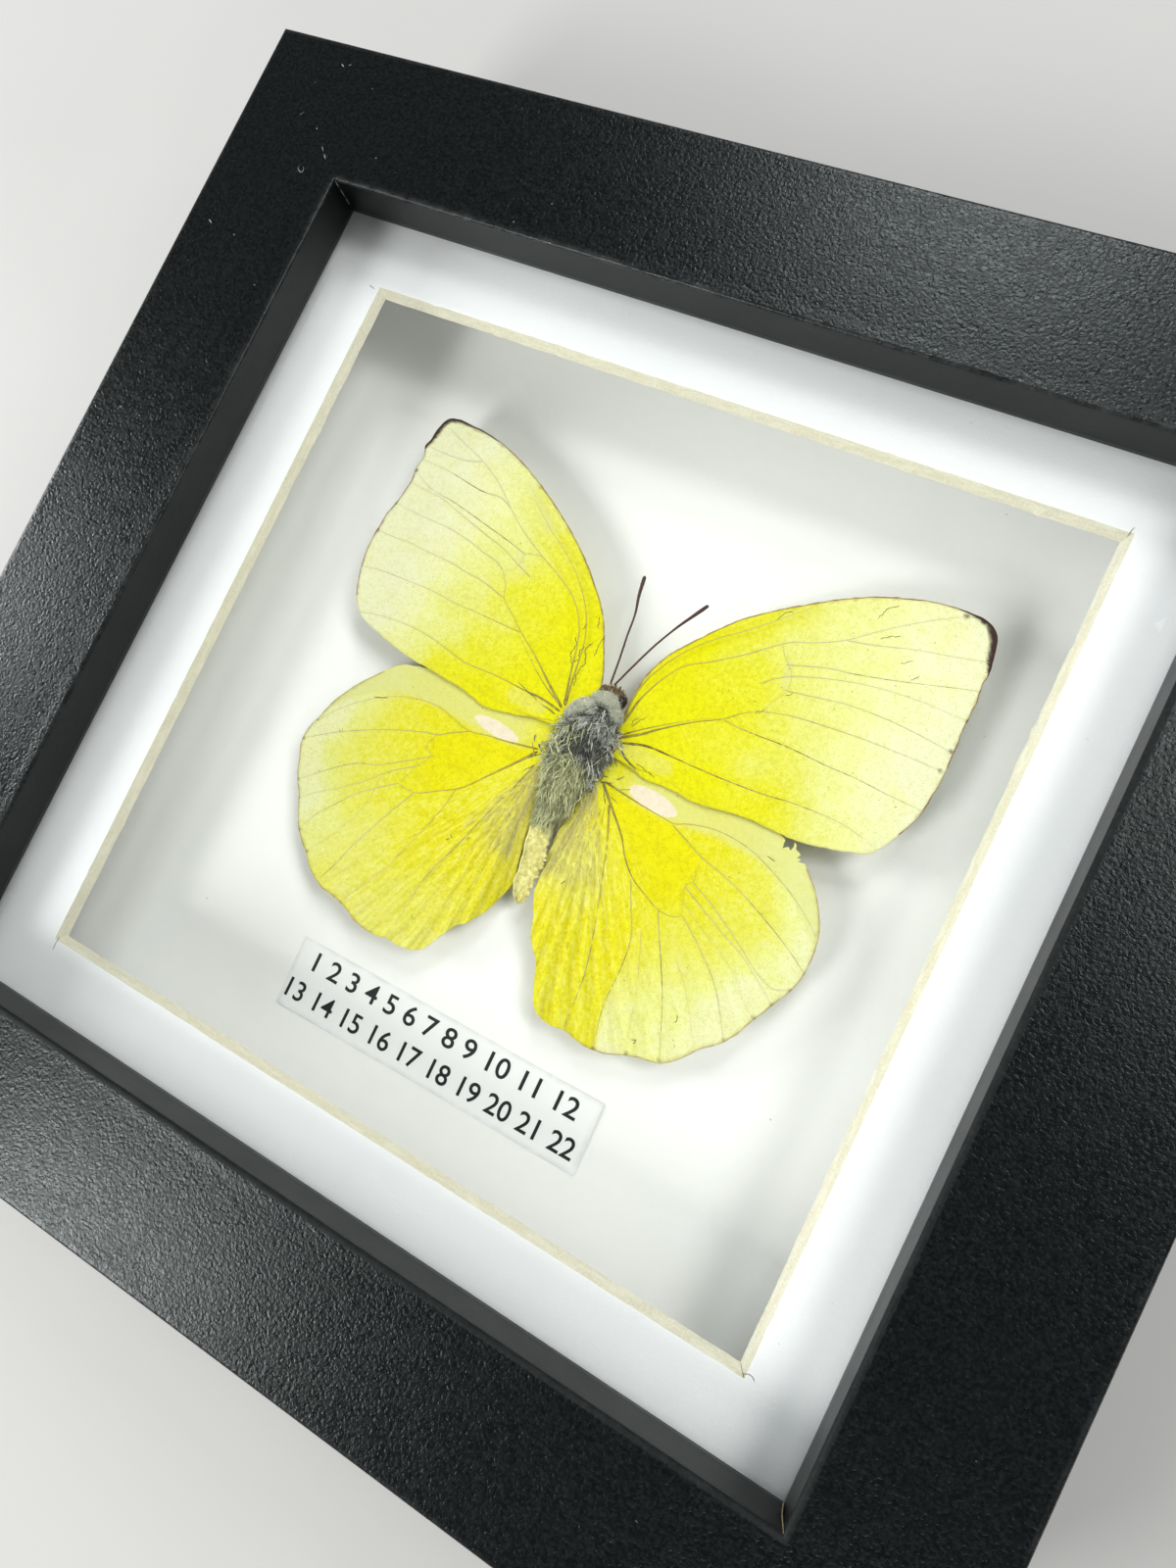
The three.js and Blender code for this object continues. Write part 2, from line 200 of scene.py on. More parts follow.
# ---- material helpers -------------------------------------------------------------------------------------------------
class Mat:
    def __init__(self, name, **inputs):
        self.m = bpy.data.materials.new(name)
        self.m.use_nodes = True
        self.t = self.m.node_tree
        self.t.nodes.clear()
        self.out = self.t.nodes.new('ShaderNodeOutputMaterial')
        self.b = self.t.nodes.new('ShaderNodeBsdfPrincipled')
        self.t.links.new(self.b.outputs[0], self.out.inputs[0])
        for k, v in inputs.items():
            self.b.inputs[k.replace('_', ' ')].default_value = v
        self.co = self.node('ShaderNodeTexCoord').outputs['Object']

    def node(self, kind, **props):
        n = self.t.nodes.new(kind)
        for k, v in props.items():
            setattr(n, k, v)
        return n

    def put(self, socket, value):
        if isinstance(value, bpy.types.NodeSocket):
            self.t.links.new(value, socket)
        elif isinstance(value, (tuple, list)) and len(value) == 3 and socket.type == 'RGBA':
            socket.default_value = (*value, 1)
        else:
            socket.default_value = value

    def noise(self, mm, detail=3, rough=0.55, dist=0.0, co=None, stretch=None):
        n = self.node('ShaderNodeTexNoise')
        n.inputs['Scale'].default_value = 1000.0 / mm
        n.inputs['Detail'].default_value = detail
        n.inputs['Roughness'].default_value = rough
        n.inputs['Distortion'].default_value = dist
        c = co or self.co
        if stretch:
            c = self.mapping(c, scale=stretch)
        self.put(n.inputs['Vector'], c)
        return n.outputs['Fac']

    def voronoi(self, mm, feature='F1', out='Distance', co=None, rand=1.0):
        n = self.node('ShaderNodeTexVoronoi', feature=feature)
        n.inputs['Scale'].default_value = 1000.0 / mm
        n.inputs['Randomness'].default_value = rand
        self.put(n.inputs['Vector'], co or self.co)
        return n.outputs[out]

    def mapping(self, co, loc=(0, 0, 0), rot=(0, 0, 0), scale=(1, 1, 1)):
        n = self.node('ShaderNodeMapping')
        n.inputs['Location'].default_value = loc
        n.inputs['Rotation'].default_value = rot
        n.inputs['Scale'].default_value = scale
        self.put(n.inputs['Vector'], co)
        return n.outputs[0]

    def ramp(self, fac, stops, interp='LINEAR'):
        n = self.node('ShaderNodeValToRGB')
        n.color_ramp.interpolation = interp
        e = n.color_ramp.elements
        while len(e) < len(stops):
            e.new(0.5)
        for el, (p, c) in zip(e, stops):
            el.position = p
            c = (c, c, c) if isinstance(c, (int, float)) else c
            el.color = (*c, 1)
        self.put(n.inputs[0], fac)
        return n.outputs[0]

    def range(self, v, a, b, c=0.0, d=1.0, smooth=False):
        n = self.node('ShaderNodeMapRange', clamp=True, interpolation_type='SMOOTHSTEP' if smooth else 'LINEAR')
        for s, x in zip(n.inputs, (v, a, b, c, d)):
            self.put(s, x)
        return n.outputs[0]

    def math(self, op, a, b=0.0, clamp=False):
        n = self.node('ShaderNodeMath', operation=op, use_clamp=clamp)
        self.put(n.inputs[0], a)
        self.put(n.inputs[1], b)
        return n.outputs[0]

    def mix(self, fac, a, b, mode='MIX'):
        n = self.node('ShaderNodeMix', data_type='RGBA', blend_type=mode)
        self.put(n.inputs[0], fac)
        self.put(n.inputs[6], a)
        self.put(n.inputs[7], b)
        return n.outputs[2]

    def attr(self, name):
        n = self.node('ShaderNodeAttribute', attribute_name=name)
        return n.outputs['Fac']

    def bump(self, height, mm, strength=1.0, normal=None):
        n = self.node('ShaderNodeBump')
        n.inputs['Strength'].default_value = strength
        n.inputs['Distance'].default_value = mm * MM
        self.put(n.inputs['Height'], height)
        if normal is not None:
            self.put(n.inputs['Normal'], normal)
        return n.outputs[0]

    def set(self, **kw):
        for k, v in kw.items():
            self.put(self.b.inputs[k.replace('_', ' ')], v)
        return self


WINGS = {
    'LF': {
        'sc': [(-2.1, 7.8), (-2.8, 11.6), (-3.6, 16.5), (-5.2, 20.2), (-7.9, 23.6), (-11.5, 26.6), (-14.7, 28.6),
            (-18.6, 31.6)],
        'r': [(-2.3, 7.9), (-3.4, 12.2), (-4.8, 17.4), (-7.2, 20.9), (-10.2, 22.9), (-14.0, 24.8), (-16.5, 26.1),
            (-19.2, 27.8), (-21.2, 29.3), (-22.6, 30.5), (-25.0, 32.3), (-28.1, 34.0), (-32.2, 35.6), (-34.7, 36.6)],
        'r5': [(-28.1, 34.0), (-30.3, 33.3), (-33.5, 33.1), (-36.8, 33.3)],
        'm0': [(-21.4, 29.4), (-23.3, 30.2), (-26.4, 30.1), (-31.4, 30.9), (-35.2, 31.2), (-37.4, 31.0)],
        'm1': [(-16.4, 24.2), (-19.3, 25.0), (-23.3, 25.9), (-27.3, 26.8), (-29.8, 27.3), (-33.4, 27.8), (-36.7,
            29.4)],
        'm2': [(-14.2, 21.6), (-16.5, 22.5), (-19.6, 23.8), (-23.3, 24.8), (-27.1, 25.9), (-30.9, 27.0), (-33.9,
            27.3), (-36.9, 27.6)],
        'm3': [(-18.3, 21.1), (-19.9, 21.9), (-22.4, 22.4), (-25.0, 23.1), (-28.5, 23.6), (-32.2, 23.7), (-35.6,
            23.9), (-37.3, 24.1)],
        'dc': [(-14.0, 24.8), (-15.4, 24.6), (-16.4, 24.2), (-16.4, 23.1), (-16.8, 21.9), (-17.4, 21.3), (-18.3,
            21.1)],
        'cu': [(-2.4, 7.4), (-5.4, 9.6), (-8.8, 12.2), (-12.1, 14.4), (-14.3, 16.1), (-16.3, 17.6), (-16.9, 19.3),
            (-18.3, 21.1)],
        'cu1': [(-16.3, 17.6), (-20.1, 18.6), (-23.1, 18.9), (-25.6, 19.3), (-29.2, 19.4), (-32.7, 19.6), (-35.6,
            19.5), (-37.9, 19.6)],
        'cu2': [(-12.0, 14.3), (-14.8, 14.3), (-18.6, 14.4), (-22.1, 14.4), (-26.1, 14.7), (-28.7, 14.7), (-31.6,
            14.6), (-34.6, 14.5), (-37.6, 14.0)],
        'an': [(-2.4, 6.9), (-5.2, 7.4), (-8.2, 7.5), (-12.6, 7.7), (-16.9, 7.6), (-19.0, 7.9), (-22.2, 8.6), (-25.3,
            9.0), (-28.6, 9.0), (-32.1, 8.6), (-34.6, 8.0)],
        'an2': [(-2.7, 5.4), (-5.1, 4.9), (-8.0, 4.7), (-11.1, 4.8), (-14.4, 5.2), (-17.8, 5.7)],
        'cub': [(-2.7, 7.6), (-6.0, 9.3), (-9.2, 11.6), (-12.1, 13.8)],
        'outline': [(1.19, 11.75), (0.44, 14.16), (-0.78, 16.82), (-2.39, 19.93), (-3.83, 21.96), (-5.41, 23.67),
            (-7.74, 25.98), (-10.10, 28.02), (-13.00, 30.18), (-15.74, 32.00), (-18.39, 33.58), (-21.40, 35.22),
            (-24.26, 36.48), (-26.94, 37.37), (-29.53, 38.00), (-31.93, 38.24), (-33.66, 38.41), (-35.34, 38.14),
            (-36.04, 37.57), (-36.39, 36.65), (-36.66, 35.59), (-36.80, 34.27), (-37.14, 33.13), (-36.78, 32.21),
            (-36.64, 31.31), (-36.86, 30.28), (-36.84, 29.43), (-36.71, 28.43), (-36.67, 27.72), (-36.83, 26.64),
            (-36.98, 25.48), (-37.22, 24.22), (-37.54, 23.05), (-37.82, 21.99), (-37.88, 20.55), (-38.02, 19.23),
            (-38.08, 17.78), (-38.01, 16.07), (-37.72, 14.30), (-37.21, 12.30), (-36.50, 10.39), (-35.75, 9.14),
            (-34.84, 8.11), (-33.73, 7.32), (-32.09, 6.77), (-30.11, 6.21), (-27.81, 5.64), (-25.61, 5.21), (-23.49,
            4.90), (-21.52, 4.84), (-19.11, 4.52), (-16.79, 4.33), (-15.07, 4.05), (-13.24, 3.52), (-11.60, 3.35),
            (-9.61, 3.65), (-7.69, 4.06), (-5.30, 4.69), (-2.89, 4.90), (-0.60, 4.75), (0.60, 5.60), (0.95, 7.60),
            (1.10, 9.80)],
    },
    'RF': {
        'sc': [(5.7, 9.1), (5.6, 13.0), (6.7, 16.6), (8.9, 20.3), (11.7, 23.3), (15.2, 26.2), (18.6, 29.4), (20.9,
            31.6)],
        'r': [(5.8, 8.8), (6.6, 13.1), (9.2, 18.1), (12.4, 20.4), (16.0, 23.0), (20.0, 26.3), (22.8, 27.5), (26.2,
            29.3), (29.8, 32.2), (33.9, 35.1), (37.7, 37.3)],
        'r5': [(26.2, 29.3), (29.5, 30.0), (34.0, 31.3), (38.3, 32.2), (42.6, 33.2)],
        'm1': [(21.0, 23.7), (25.5, 25.2), (28.8, 25.8), (33.4, 26.9), (37.3, 28.0), (41.2, 29.1), (42.9, 29.5)],
        'm2': [(19.3, 20.4), (20.7, 21.7), (22.9, 22.9), (27.5, 24.4), (31.9, 25.3), (36.4, 25.7), (40.1, 25.7),
            (42.8, 25.6)],
        'm3': [(22.2, 20.7), (25.6, 21.3), (29.5, 22.0), (33.6, 22.2), (38.0, 22.0), (42.5, 21.5)],
        'dc': [(19.7, 25.8), (20.3, 24.8), (21.3, 23.8), (22.2, 22.8), (22.5, 20.8), (21.6, 19.0), (20.8, 17.2)],
        'cu': [(6.3, 7.0), (8.5, 8.5), (10.3, 10.0), (13.7, 12.5), (16.9, 14.4), (18.9, 16.1), (20.8, 17.2)],
        'cu1': [(20.8, 17.2), (24.4, 18.1), (29.0, 18.6), (33.1, 18.9), (37.8, 19.0), (42.4, 19.0)],
        'cu2': [(17.0, 14.3), (20.4, 14.2), (25.4, 14.4), (30.4, 14.2), (34.2, 14.2), (38.5, 13.9), (42.5, 13.8)],
        'an': [(6.8, 6.5), (9.8, 7.4), (13.3, 7.5), (16.8, 7.5), (20.5, 7.6), (25.1, 7.9), (28.8, 8.4), (32.9, 8.6),
            (35.5, 8.5), (37.9, 8.0)],
        'an2': [(7.6, 5.0), (9.2, 4.5), (10.3, 4.3), (12.9, 4.6), (16.2, 4.2), (20.1, 3.9)],
        'cub': [(6.4, 7.5), (9.0, 9.6), (12.7, 12.2), (16.0, 14.2)],
        'outline': [(5.25, 8.60), (5.32, 9.90), (5.40, 11.86), (5.57, 14.49), (6.20, 16.95), (7.26, 19.24), (8.99,
            21.61), (10.77, 23.82), (13.06, 26.41), (15.54, 28.53), (18.10, 30.38), (20.70, 32.09), (23.30, 33.69),
            (25.95, 35.10), (28.13, 36.03), (30.37, 36.77), (32.63, 37.42), (34.67, 37.77), (36.48, 37.90), (38.01,
            37.91), (39.43, 37.82), (40.66, 37.41), (41.49, 36.74), (42.02, 35.77), (42.26, 34.69), (42.44, 33.76),
            (42.60, 32.81), (42.71, 31.68), (42.61, 30.63), (42.71, 29.32), (42.81, 28.02), (42.78, 26.66), (42.82,
            25.51), (42.79, 24.15), (42.88, 22.86), (42.91, 21.03), (42.99, 19.40), (42.96, 17.71), (42.79, 15.97),
            (42.63, 14.23), (42.21, 12.37), (41.48, 10.52), (40.69, 8.81), (39.77, 7.36), (38.78, 6.44), (37.29,
            5.89), (35.34, 5.31), (33.03, 4.76), (30.59, 4.43), (28.32, 4.37), (25.97, 4.45), (23.38, 4.25), (20.85,
            3.86), (18.28, 3.48), (16.13, 3.63), (14.00, 3.70), (11.62, 3.48), (9.96, 3.90), (7.84, 4.30),
            (5.60, 4.50), (4.70, 5.60), (4.90, 7.20)],
    },
    'LH': {
        'sc': [(-3.1, 1.3), (-7.3, 0.5), (-10.1, 0.1), (-12.9, -0.4), (-15.6, 0.2), (-18.1, 0.8), (-21.1, 0.6),
            (-23.9, -0.2), (-26.4, -1.4), (-29.2, -3.4), (-31.4, -5.4), (-33.5, -8.0)],
        'rs': [(-12.5, -0.3), (-15.0, -1.7), (-16.6, -2.7), (-18.0, -3.0), (-20.1, -3.7), (-23.0, -4.8), (-26.8,
            -6.6), (-30.6, -8.7), (-34.2, -11.1)],
        'm1': [(-15.8, -5.5), (-17.8, -6.9), (-19.6, -8.1), (-22.5, -9.9), (-25.4, -11.0), (-28.4, -13.2), (-32.1,
            -16.5)],
        'm2': [(-16.9, -7.4), (-20.1, -9.7), (-23.0, -12.5), (-26.1, -15.1), (-28.9, -17.1), (-30.8, -18.7)],
        'm3': [(-18.5, -10.8), (-21.0, -12.7), (-23.4, -14.7), (-25.3, -17.0), (-27.4, -19.8), (-28.6, -22.5)],
        'dc': [(-16.6, -2.7), (-17.3, -4.6), (-16.0, -5.6), (-17.2, -7.5), (-17.8, -9.2), (-18.5, -10.8)],
        'cu': [(-3.0, 1.0), (-4.9, -1.4), (-7.5, -4.5), (-9.3, -6.7), (-10.7, -8.0), (-13.0, -9.4), (-15.6, -10.9),
            (-17.5, -11.0), (-18.5, -10.8)],
        'cu1': [(-15.9, -11.1), (-17.4, -14.0), (-18.7, -16.9), (-19.8, -19.4), (-20.6, -21.4), (-21.3, -23.8),
            (-22.4, -26.5), (-22.7, -27.8)],
        'cu1b': [(-21.2, -11.1), (-21.4, -15.3), (-23.0, -19.5), (-24.5, -22.1), (-26.1, -24.6)],
        'cu2': [(-10.8, -8.1), (-11.4, -11.4), (-12.6, -15.4), (-13.6, -18.2), (-14.7, -21.3), (-16.0, -24.2),
            (-17.5, -26.6), (-18.4, -28.5)],
        'an': [(-2.6, -0.8), (-3.8, -4.7), (-5.9, -10.5), (-7.4, -14.9), (-8.9, -19.0), (-9.5, -21.8), (-9.8, -25.3),
            (-10.5, -29.6)],
        'an1': [(-2.6, -1.9), (-3.6, -8.0), (-5.1, -13.7), (-5.8, -18.0), (-6.3, -23.3), (-6.8, -29.1)],
        'an2': [(-2.4, -2.9), (-2.8, -8.4), (-3.2, -13.4), (-3.7, -18.1), (-3.7, -22.0), (-3.3, -24.4)],
        'an3': [(-2.4, -3.5), (-1.9, -8.6), (-1.4, -12.8), (-1.6, -17.0), (-0.7, -19.9)],
        'outline': [(-24.99, 4.22), (-26.90, 3.01), (-28.53, 1.26), (-30.11, -0.62), (-31.57, -2.75), (-32.69,
            -4.90), (-33.42, -7.17), (-34.09, -8.97), (-34.35, -10.59), (-34.21, -12.03), (-33.46, -13.79), (-32.87,
            -15.31), (-32.13, -16.75), (-31.15, -18.08), (-30.44, -19.52), (-29.57, -21.18), (-28.65, -22.51),
            (-27.48, -23.71), (-26.14, -24.82), (-25.04, -26.03), (-23.63, -27.08), (-21.86, -27.94), (-20.16,
            -28.11), (-18.35, -28.49), (-16.74, -29.11), (-15.14, -29.73), (-13.43, -29.99), (-11.85, -30.03),
            (-10.50, -29.68), (-8.94, -29.72), (-7.48, -29.61), (-6.17, -29.22), (-5.11, -28.40), (-4.16, -26.80),
            (-3.15, -24.76), (-2.38, -23.68), (-1.45, -22.93), (-0.46, -21.46), (0.48, -19.89), (1.25, -17.66),
            (1.79, -15.55), (1.46, -13.78), (1.13, -12.01), (0.92, -10.17), (0.7, -8.33), (0.49, -6.21),
            (-0.10, -3.63), (-0.10, -1.04), (0.10, 1.45), (0.30, 4.20), (-0.90, 6.10), (-4.00, 6.10), (-8.04, 5.70),
            (-14.14, 5.50), (-20.27, 5.20)],
    },
    'RH': {
        'sc': [(6.7, 1.2), (11.1, 0.6), (15.2, 0.2), (17.0, 0.1), (18.6, 0.8), (21.2, 1.5), (24.2, 1.6), (27.1, 1.1),
            (30.0, 0.0), (33.0, -1.4), (35.4, -2.9), (37.7, -4.7)],
        'rs': [(16.9, -0.1), (19.2, -1.1), (21.9, -2.2), (25.0, -3.0), (28.2, -4.1), (31.4, -5.5), (34.1, -6.8),
            (36.6, -8.2), (38.5, -9.4)],
        'm1': [(22.1, -5.4), (24.8, -6.6), (27.7, -8.2), (30.6, -9.9), (33.2, -11.6), (35.8, -12.6), (37.8, -11.9)],
        'm2': [(21.5, -6.3), (24.6, -7.8), (28.0, -9.4), (31.0, -10.7), (33.9, -12.5), (36.6, -14.4)],
        'm2b': [(22.1, -8.0), (25.0, -9.8), (28.4, -11.4), (31.4, -13.3), (33.8, -15.8), (35.5, -16.7)],
        'm3': [(22.8, -9.7), (25.2, -11.4), (27.4, -13.2), (29.3, -14.9), (31.0, -17.0), (33.4, -20.7)],
        'm3b': [(24.4, -14.8), (26.5, -17.0), (28.6, -19.9), (31.0, -23.7)],
        'dc': [(21.8, -3.7), (22.2, -5.2), (21.5, -6.3), (22.1, -8.0), (22.7, -9.8)],
        'cu': [(6.5, 1.1), (8.8, -1.2), (11.7, -4.1), (13.2, -6.2), (15.1, -8.1), (17.3, -9.3), (19.7, -10.3), (21.4,
            -10.4), (22.7, -9.8)],
        'cu1': [(19.8, -10.4), (21.4, -13.3), (23.2, -16.5), (24.9, -19.7), (26.3, -23.0), (27.7, -26.4)],
        'cu2': [(15.1, -8.4), (16.8, -11.8), (18.3, -14.9), (18.8, -18.8), (18.8, -22.7), (19.1, -25.2), (20.0,
            -29.0)],
        'cu2b': [(19.0, -13.4), (20.3, -16.6), (21.6, -20.1), (22.8, -24.4), (23.8, -27.7)],
        'an': [(8.6, -1.3), (10.6, -6.1), (12.2, -11.0), (13.7, -15.8), (15.1, -21.5), (15.5, -25.8), (15.7, -28.9)],
        'an1': [(8.2, -1.8), (9.6, -7.4), (10.7, -12.6), (11.5, -17.2), (11.7, -21.6), (12.0, -25.1), (12.3, -28.6)],
        'an2': [(7.9, -2.2), (8.4, -8.0), (9.0, -13.4), (9.3, -18.1), (9.4, -22.3), (9.1, -23.8)],
        'outline': [(31.01, 4.30), (31.88, 3.69), (32.85, 2.81), (33.98, 1.74), (35.20, 0.46), (36.26, -0.89),
            (37.15, -2.31), (37.93, -4.04), (38.35, -5.69), (38.51, -7.46), (38.47, -9.33), (38.24, -10.78), (37.70,
            -12.38), (37.01, -13.67), (36.59, -14.69), (36.16, -15.71), (35.52, -16.85), (34.98, -18.20), (34.34,
            -19.61), (33.59, -20.80), (32.54, -21.91), (31.62, -22.75), (30.94, -23.57), (30.14, -24.68), (29.09,
            -25.84), (27.89, -26.71), (26.74, -27.13), (25.49, -27.36), (24.30, -27.73), (22.94, -28.34), (21.57,
            -28.95), (20.15, -29.18), (18.66, -29.31), (17.11, -29.04), (15.72, -28.83), (14.26, -29.06), (12.79,
            -29.02), (11.88, -28.67), (10.88, -27.66), (10.09, -26.11), (9.47, -24.47), (8.90, -23.08), (7.76,
            -21.69), (6.84, -20.46), (6.27, -18.75), (5.45, -16.98), (4.73, -15.15), (4.52, -12.96), (4.31, -10.77),
            (4.09, -8.58), (4.12, -6.26), (4.3, -3.83), (4.78, -1.39), (5.20, 1.04), (4.70, 3.20), (4.90, 5.50),
            (7.20, 6.00), (10.00, 5.70), (12.94, 5.40), (18.60, 4.81), (24.13, 4.63), (28.12, 4.60), (29.56, 4.34),
            (30.34, 3.76), (30.98, 3.79)],
    },
}


# ---- materials --------------------------------------------------------------------------------------------------------
def foil(name, grain, wear_and_highlight):
    """Black paper-foil wrap: a fine pressed grain on the face, plain and satin on the narrow inner wall."""
    k = Mat(name, Specular_IOR_Level=0.205)
    k.b.inputs['Specular Tint'].default_value = (0.90, 1.0, 0.99, 1)
    fine = k.noise(0.40, 2, 0.55, 0.5)
    cell = k.voronoi(0.42, 'SMOOTH_F1')
    mid = k.noise(1.9, 4, 0.6, 0.7, stretch=(1, 1.5, 1))
    broad = k.noise(9.0, 3, 0.6)
    base = k.mix(k.range(fine, 0.42, 0.66), (0.0010, 0.0014, 0.0015), (0.0050, 0.0062, 0.0063))
    base = k.mix(k.range(broad, 0.35, 0.75, 0.0, 0.35), base, (0.0024, 0.0030, 0.0031))
    specks = k.range(k.noise(0.9, 2, 0.5, 0, k.mapping(k.co, loc=(3, 1, 2))), 0.79, 0.81)
    base = k.mix(k.math('MULTIPLY', specks, 0.8 * grain), base, (0.14, 0.15, 0.155))
    # the edge attribute lightens the rounded edges: worn foil, and on the inner edge of the top and left rails also a
    # painted highlight; the mitre nicks are rubbed-through foil
    e = k.math('MULTIPLY', k.attr('edge'), k.range(k.noise(2.6, 4, 0.65, 0, k.mapping(k.co, loc=(1, 5, 0))), 0.40, 0.66, 0.18, 1.0))
    base = k.mix(k.math('MULTIPLY', e, wear_and_highlight), base, (0.135, 0.14, 0.14))
    rough = k.range(k.noise(0.8, 3, 0.6, 0.4), 0.38, 0.62, 0.23, 0.34) if grain > 0.5 else k.range(broad, 0.3, 0.7, 0.34, 0.42)
    rough = k.math('ADD', rough, k.math('MULTIPLY', k.attr('dull'), 0.42))
    h = k.math('ADD', k.math('MULTIPLY', fine, 1.0), k.math('MULTIPLY', cell, 0.12))
    nrm = k.bump(h, 0.070 * grain, 1.0)
    nrm = k.bump(mid, 0.035 * grain, 0.8, nrm)
    nrm = k.bump(broad, 0.04, 0.5, nrm)
    k.set(Base_Color=base, Roughness=rough, Normal=nrm)
    return k.m


M_FOIL = foil("foil_face", 1.0, 0.30)
M_FOIL_IN = foil("foil_wall", 0.16, 0.30)


def board_white():
    k = Mat("mat_white", Roughness=0.88, Specular_IOR_Level=0.3)
    tooth = k.noise(0.20, 4, 0.6)
    fibre = k.noise(0.9, 3, 0.6, 0.6, stretch=(1, 2.2, 1))
    cloud = k.noise(14, 2, 0.5)
    c = k.mix(k.range(tooth, 0.3, 0.7), (0.845, 0.855, 0.865), (0.915, 0.92, 0.93))
    c = k.mix(k.range(cloud, 0.35, 0.7, 0, 0.30), c, (0.85, 0.86, 0.875))
    speck = k.range(k.noise(0.62, 2, 0.5, 0, k.mapping(k.co, loc=(7, 2, 4))), 0.765, 0.79)
    c = k.mix(k.math('MULTIPLY', speck, 0.55), c, (0.33, 0.32, 0.30))
    n = k.bump(tooth, 0.018, 1.0)
    n = k.bump(fibre, 0.02, 0.7, n)
    k.set(Base_Color=c, Normal=n)
    return k.m


def board_core():
    k = Mat("mat_core", Roughness=0.92, Specular_IOR_Level=0.2)
    pulp = k.noise(0.22, 4, 0.62, 0.3)
    strata = k.noise(1.2, 3, 0.6, 0, stretch=(0.35, 0.35, 3.0))
    c = k.mix(k.range(pulp, 0.3, 0.72), (0.60, 0.565, 0.44), (0.78, 0.75, 0.62))
    c = k.mix(k.range(strata, 0.45, 0.7, 0, 0.5), c, (0.83, 0.81, 0.71))
    spot = k.range(k.noise(1.7, 3, 0.6, 0, k.mapping(k.co, loc=(2, 9, 1))), 0.60, 0.72)
    c = k.mix(k.math('MULTIPLY', spot, 0.4), c, (0.70, 0.60, 0.50))
    n = k.bump(pulp, 0.05, 1.0)
    k.set(Base_Color=c, Normal=n)
    return k.m


def card_white():
    k = Mat("card_white", Roughness=0.85, Specular_IOR_Level=0.3)
    tooth = k.noise(0.24, 4, 0.6)
    cloud = k.noise(22, 3, 0.5)
    c = k.mix(k.range(tooth, 0.3, 0.7), (0.835, 0.835, 0.815), (0.885, 0.885, 0.868))
    c = k.mix(k.range(cloud, 0.4, 0.7, 0, 0.35), c, (0.83, 0.825, 0.795))
    speck = k.range(k.noise(0.85, 2, 0.5, 0, k.mapping(k.co, loc=(4, 4, 9))), 0.775, 0.797)
    c = k.mix(k.math('MULTIPLY', speck, 0.7), c, (0.16, 0.16, 0.14))
    k.set(Base_Color=c, Normal=k.bump(tooth, 0.012, 1.0))
    return k.m


def paper():
    k = Mat("label_paper", Roughness=0.62, Specular_IOR_Level=0.4)
    tooth = k.noise(0.16, 4, 0.6)
    c = k.mix(k.range(tooth, 0.3, 0.7), (0.815, 0.82, 0.815), (0.865, 0.87, 0.865))
    # painted shade: the paper turns grey in a narrow band along its rim, standing in for the thin shadow line round the
    # label
    c = k.mix(k.math('MULTIPLY', k.attr('edge'), k.range(k.noise(1.5, 3), 0.35, 0.6, 0.1, 0.45)), c, (0.50, 0.50, 0.52))
    k.set(Base_Color=c, Normal=k.bump(tooth, 0.008, 1.0))
    return k.m


def ink():
    k = Mat("label_ink", Specular_IOR_Level=0.4)
    n = k.noise(0.12, 3, 0.6)
    k.set(Base_Color=k.mix(k.range(n, 0.35, 0.75), (0.004, 0.004, 0.005), (0.012, 0.012, 0.014)), Roughness=k.range(n, 0.3, 0.7, 0.4, 0.6))
    return k.m


def hardboard():
    k = Mat("hardboard", Specular_IOR_Level=0.35)
    fibre = k.noise(0.9, 5, 0.7, 1.2)
    fine = k.noise(0.22, 4, 0.6)
    broad = k.noise(18, 3, 0.55)
    c = k.mix(k.range(fibre, 0.3, 0.72), (0.115, 0.062, 0.030), (0.235, 0.140, 0.072))
    c = k.mix(k.range(broad, 0.35, 0.7, 0, 0.5), c, (0.16, 0.09, 0.045))
    fleck = k.range(k.noise(0.7, 2, 0.5, 0.8, k.mapping(k.co, loc=(5, 5, 5))), 0.68, 0.74)
    c = k.mix(k.math('MULTIPLY', fleck, 0.55), c, (0.05, 0.026, 0.014))
    n = k.bump(fine, 0.03, 1.0)
    k.set(Base_Color=c, Roughness=k.range(fine, 0.3, 0.7, 0.5, 0.72), Normal=k.bump(fibre, 0.05, 0.8, n))
    return k.m


def steel():
    k = Mat("zinc_steel", Metallic=1.0)
    drawn = k.noise(0.25, 4, 0.6, 0, stretch=(0.12, 1, 1))
    patch = k.noise(2.6, 3, 0.6)
    c = k.mix(k.range(patch, 0.35, 0.7), (0.42, 0.43, 0.45), (0.60, 0.61, 0.62))
    spot = k.range(k.noise(1.1, 3, 0.6, 0, k.mapping(k.co, loc=(1, 2, 8))), 0.66, 0.74)
    c = k.mix(k.math('MULTIPLY', spot, 0.6), c, (0.20, 0.17, 0.15))
    k.set(Base_Color=c, Roughness=k.range(drawn, 0.3, 0.75, 0.26, 0.46), Normal=k.bump(drawn, 0.01, 1.0))
    return k.m


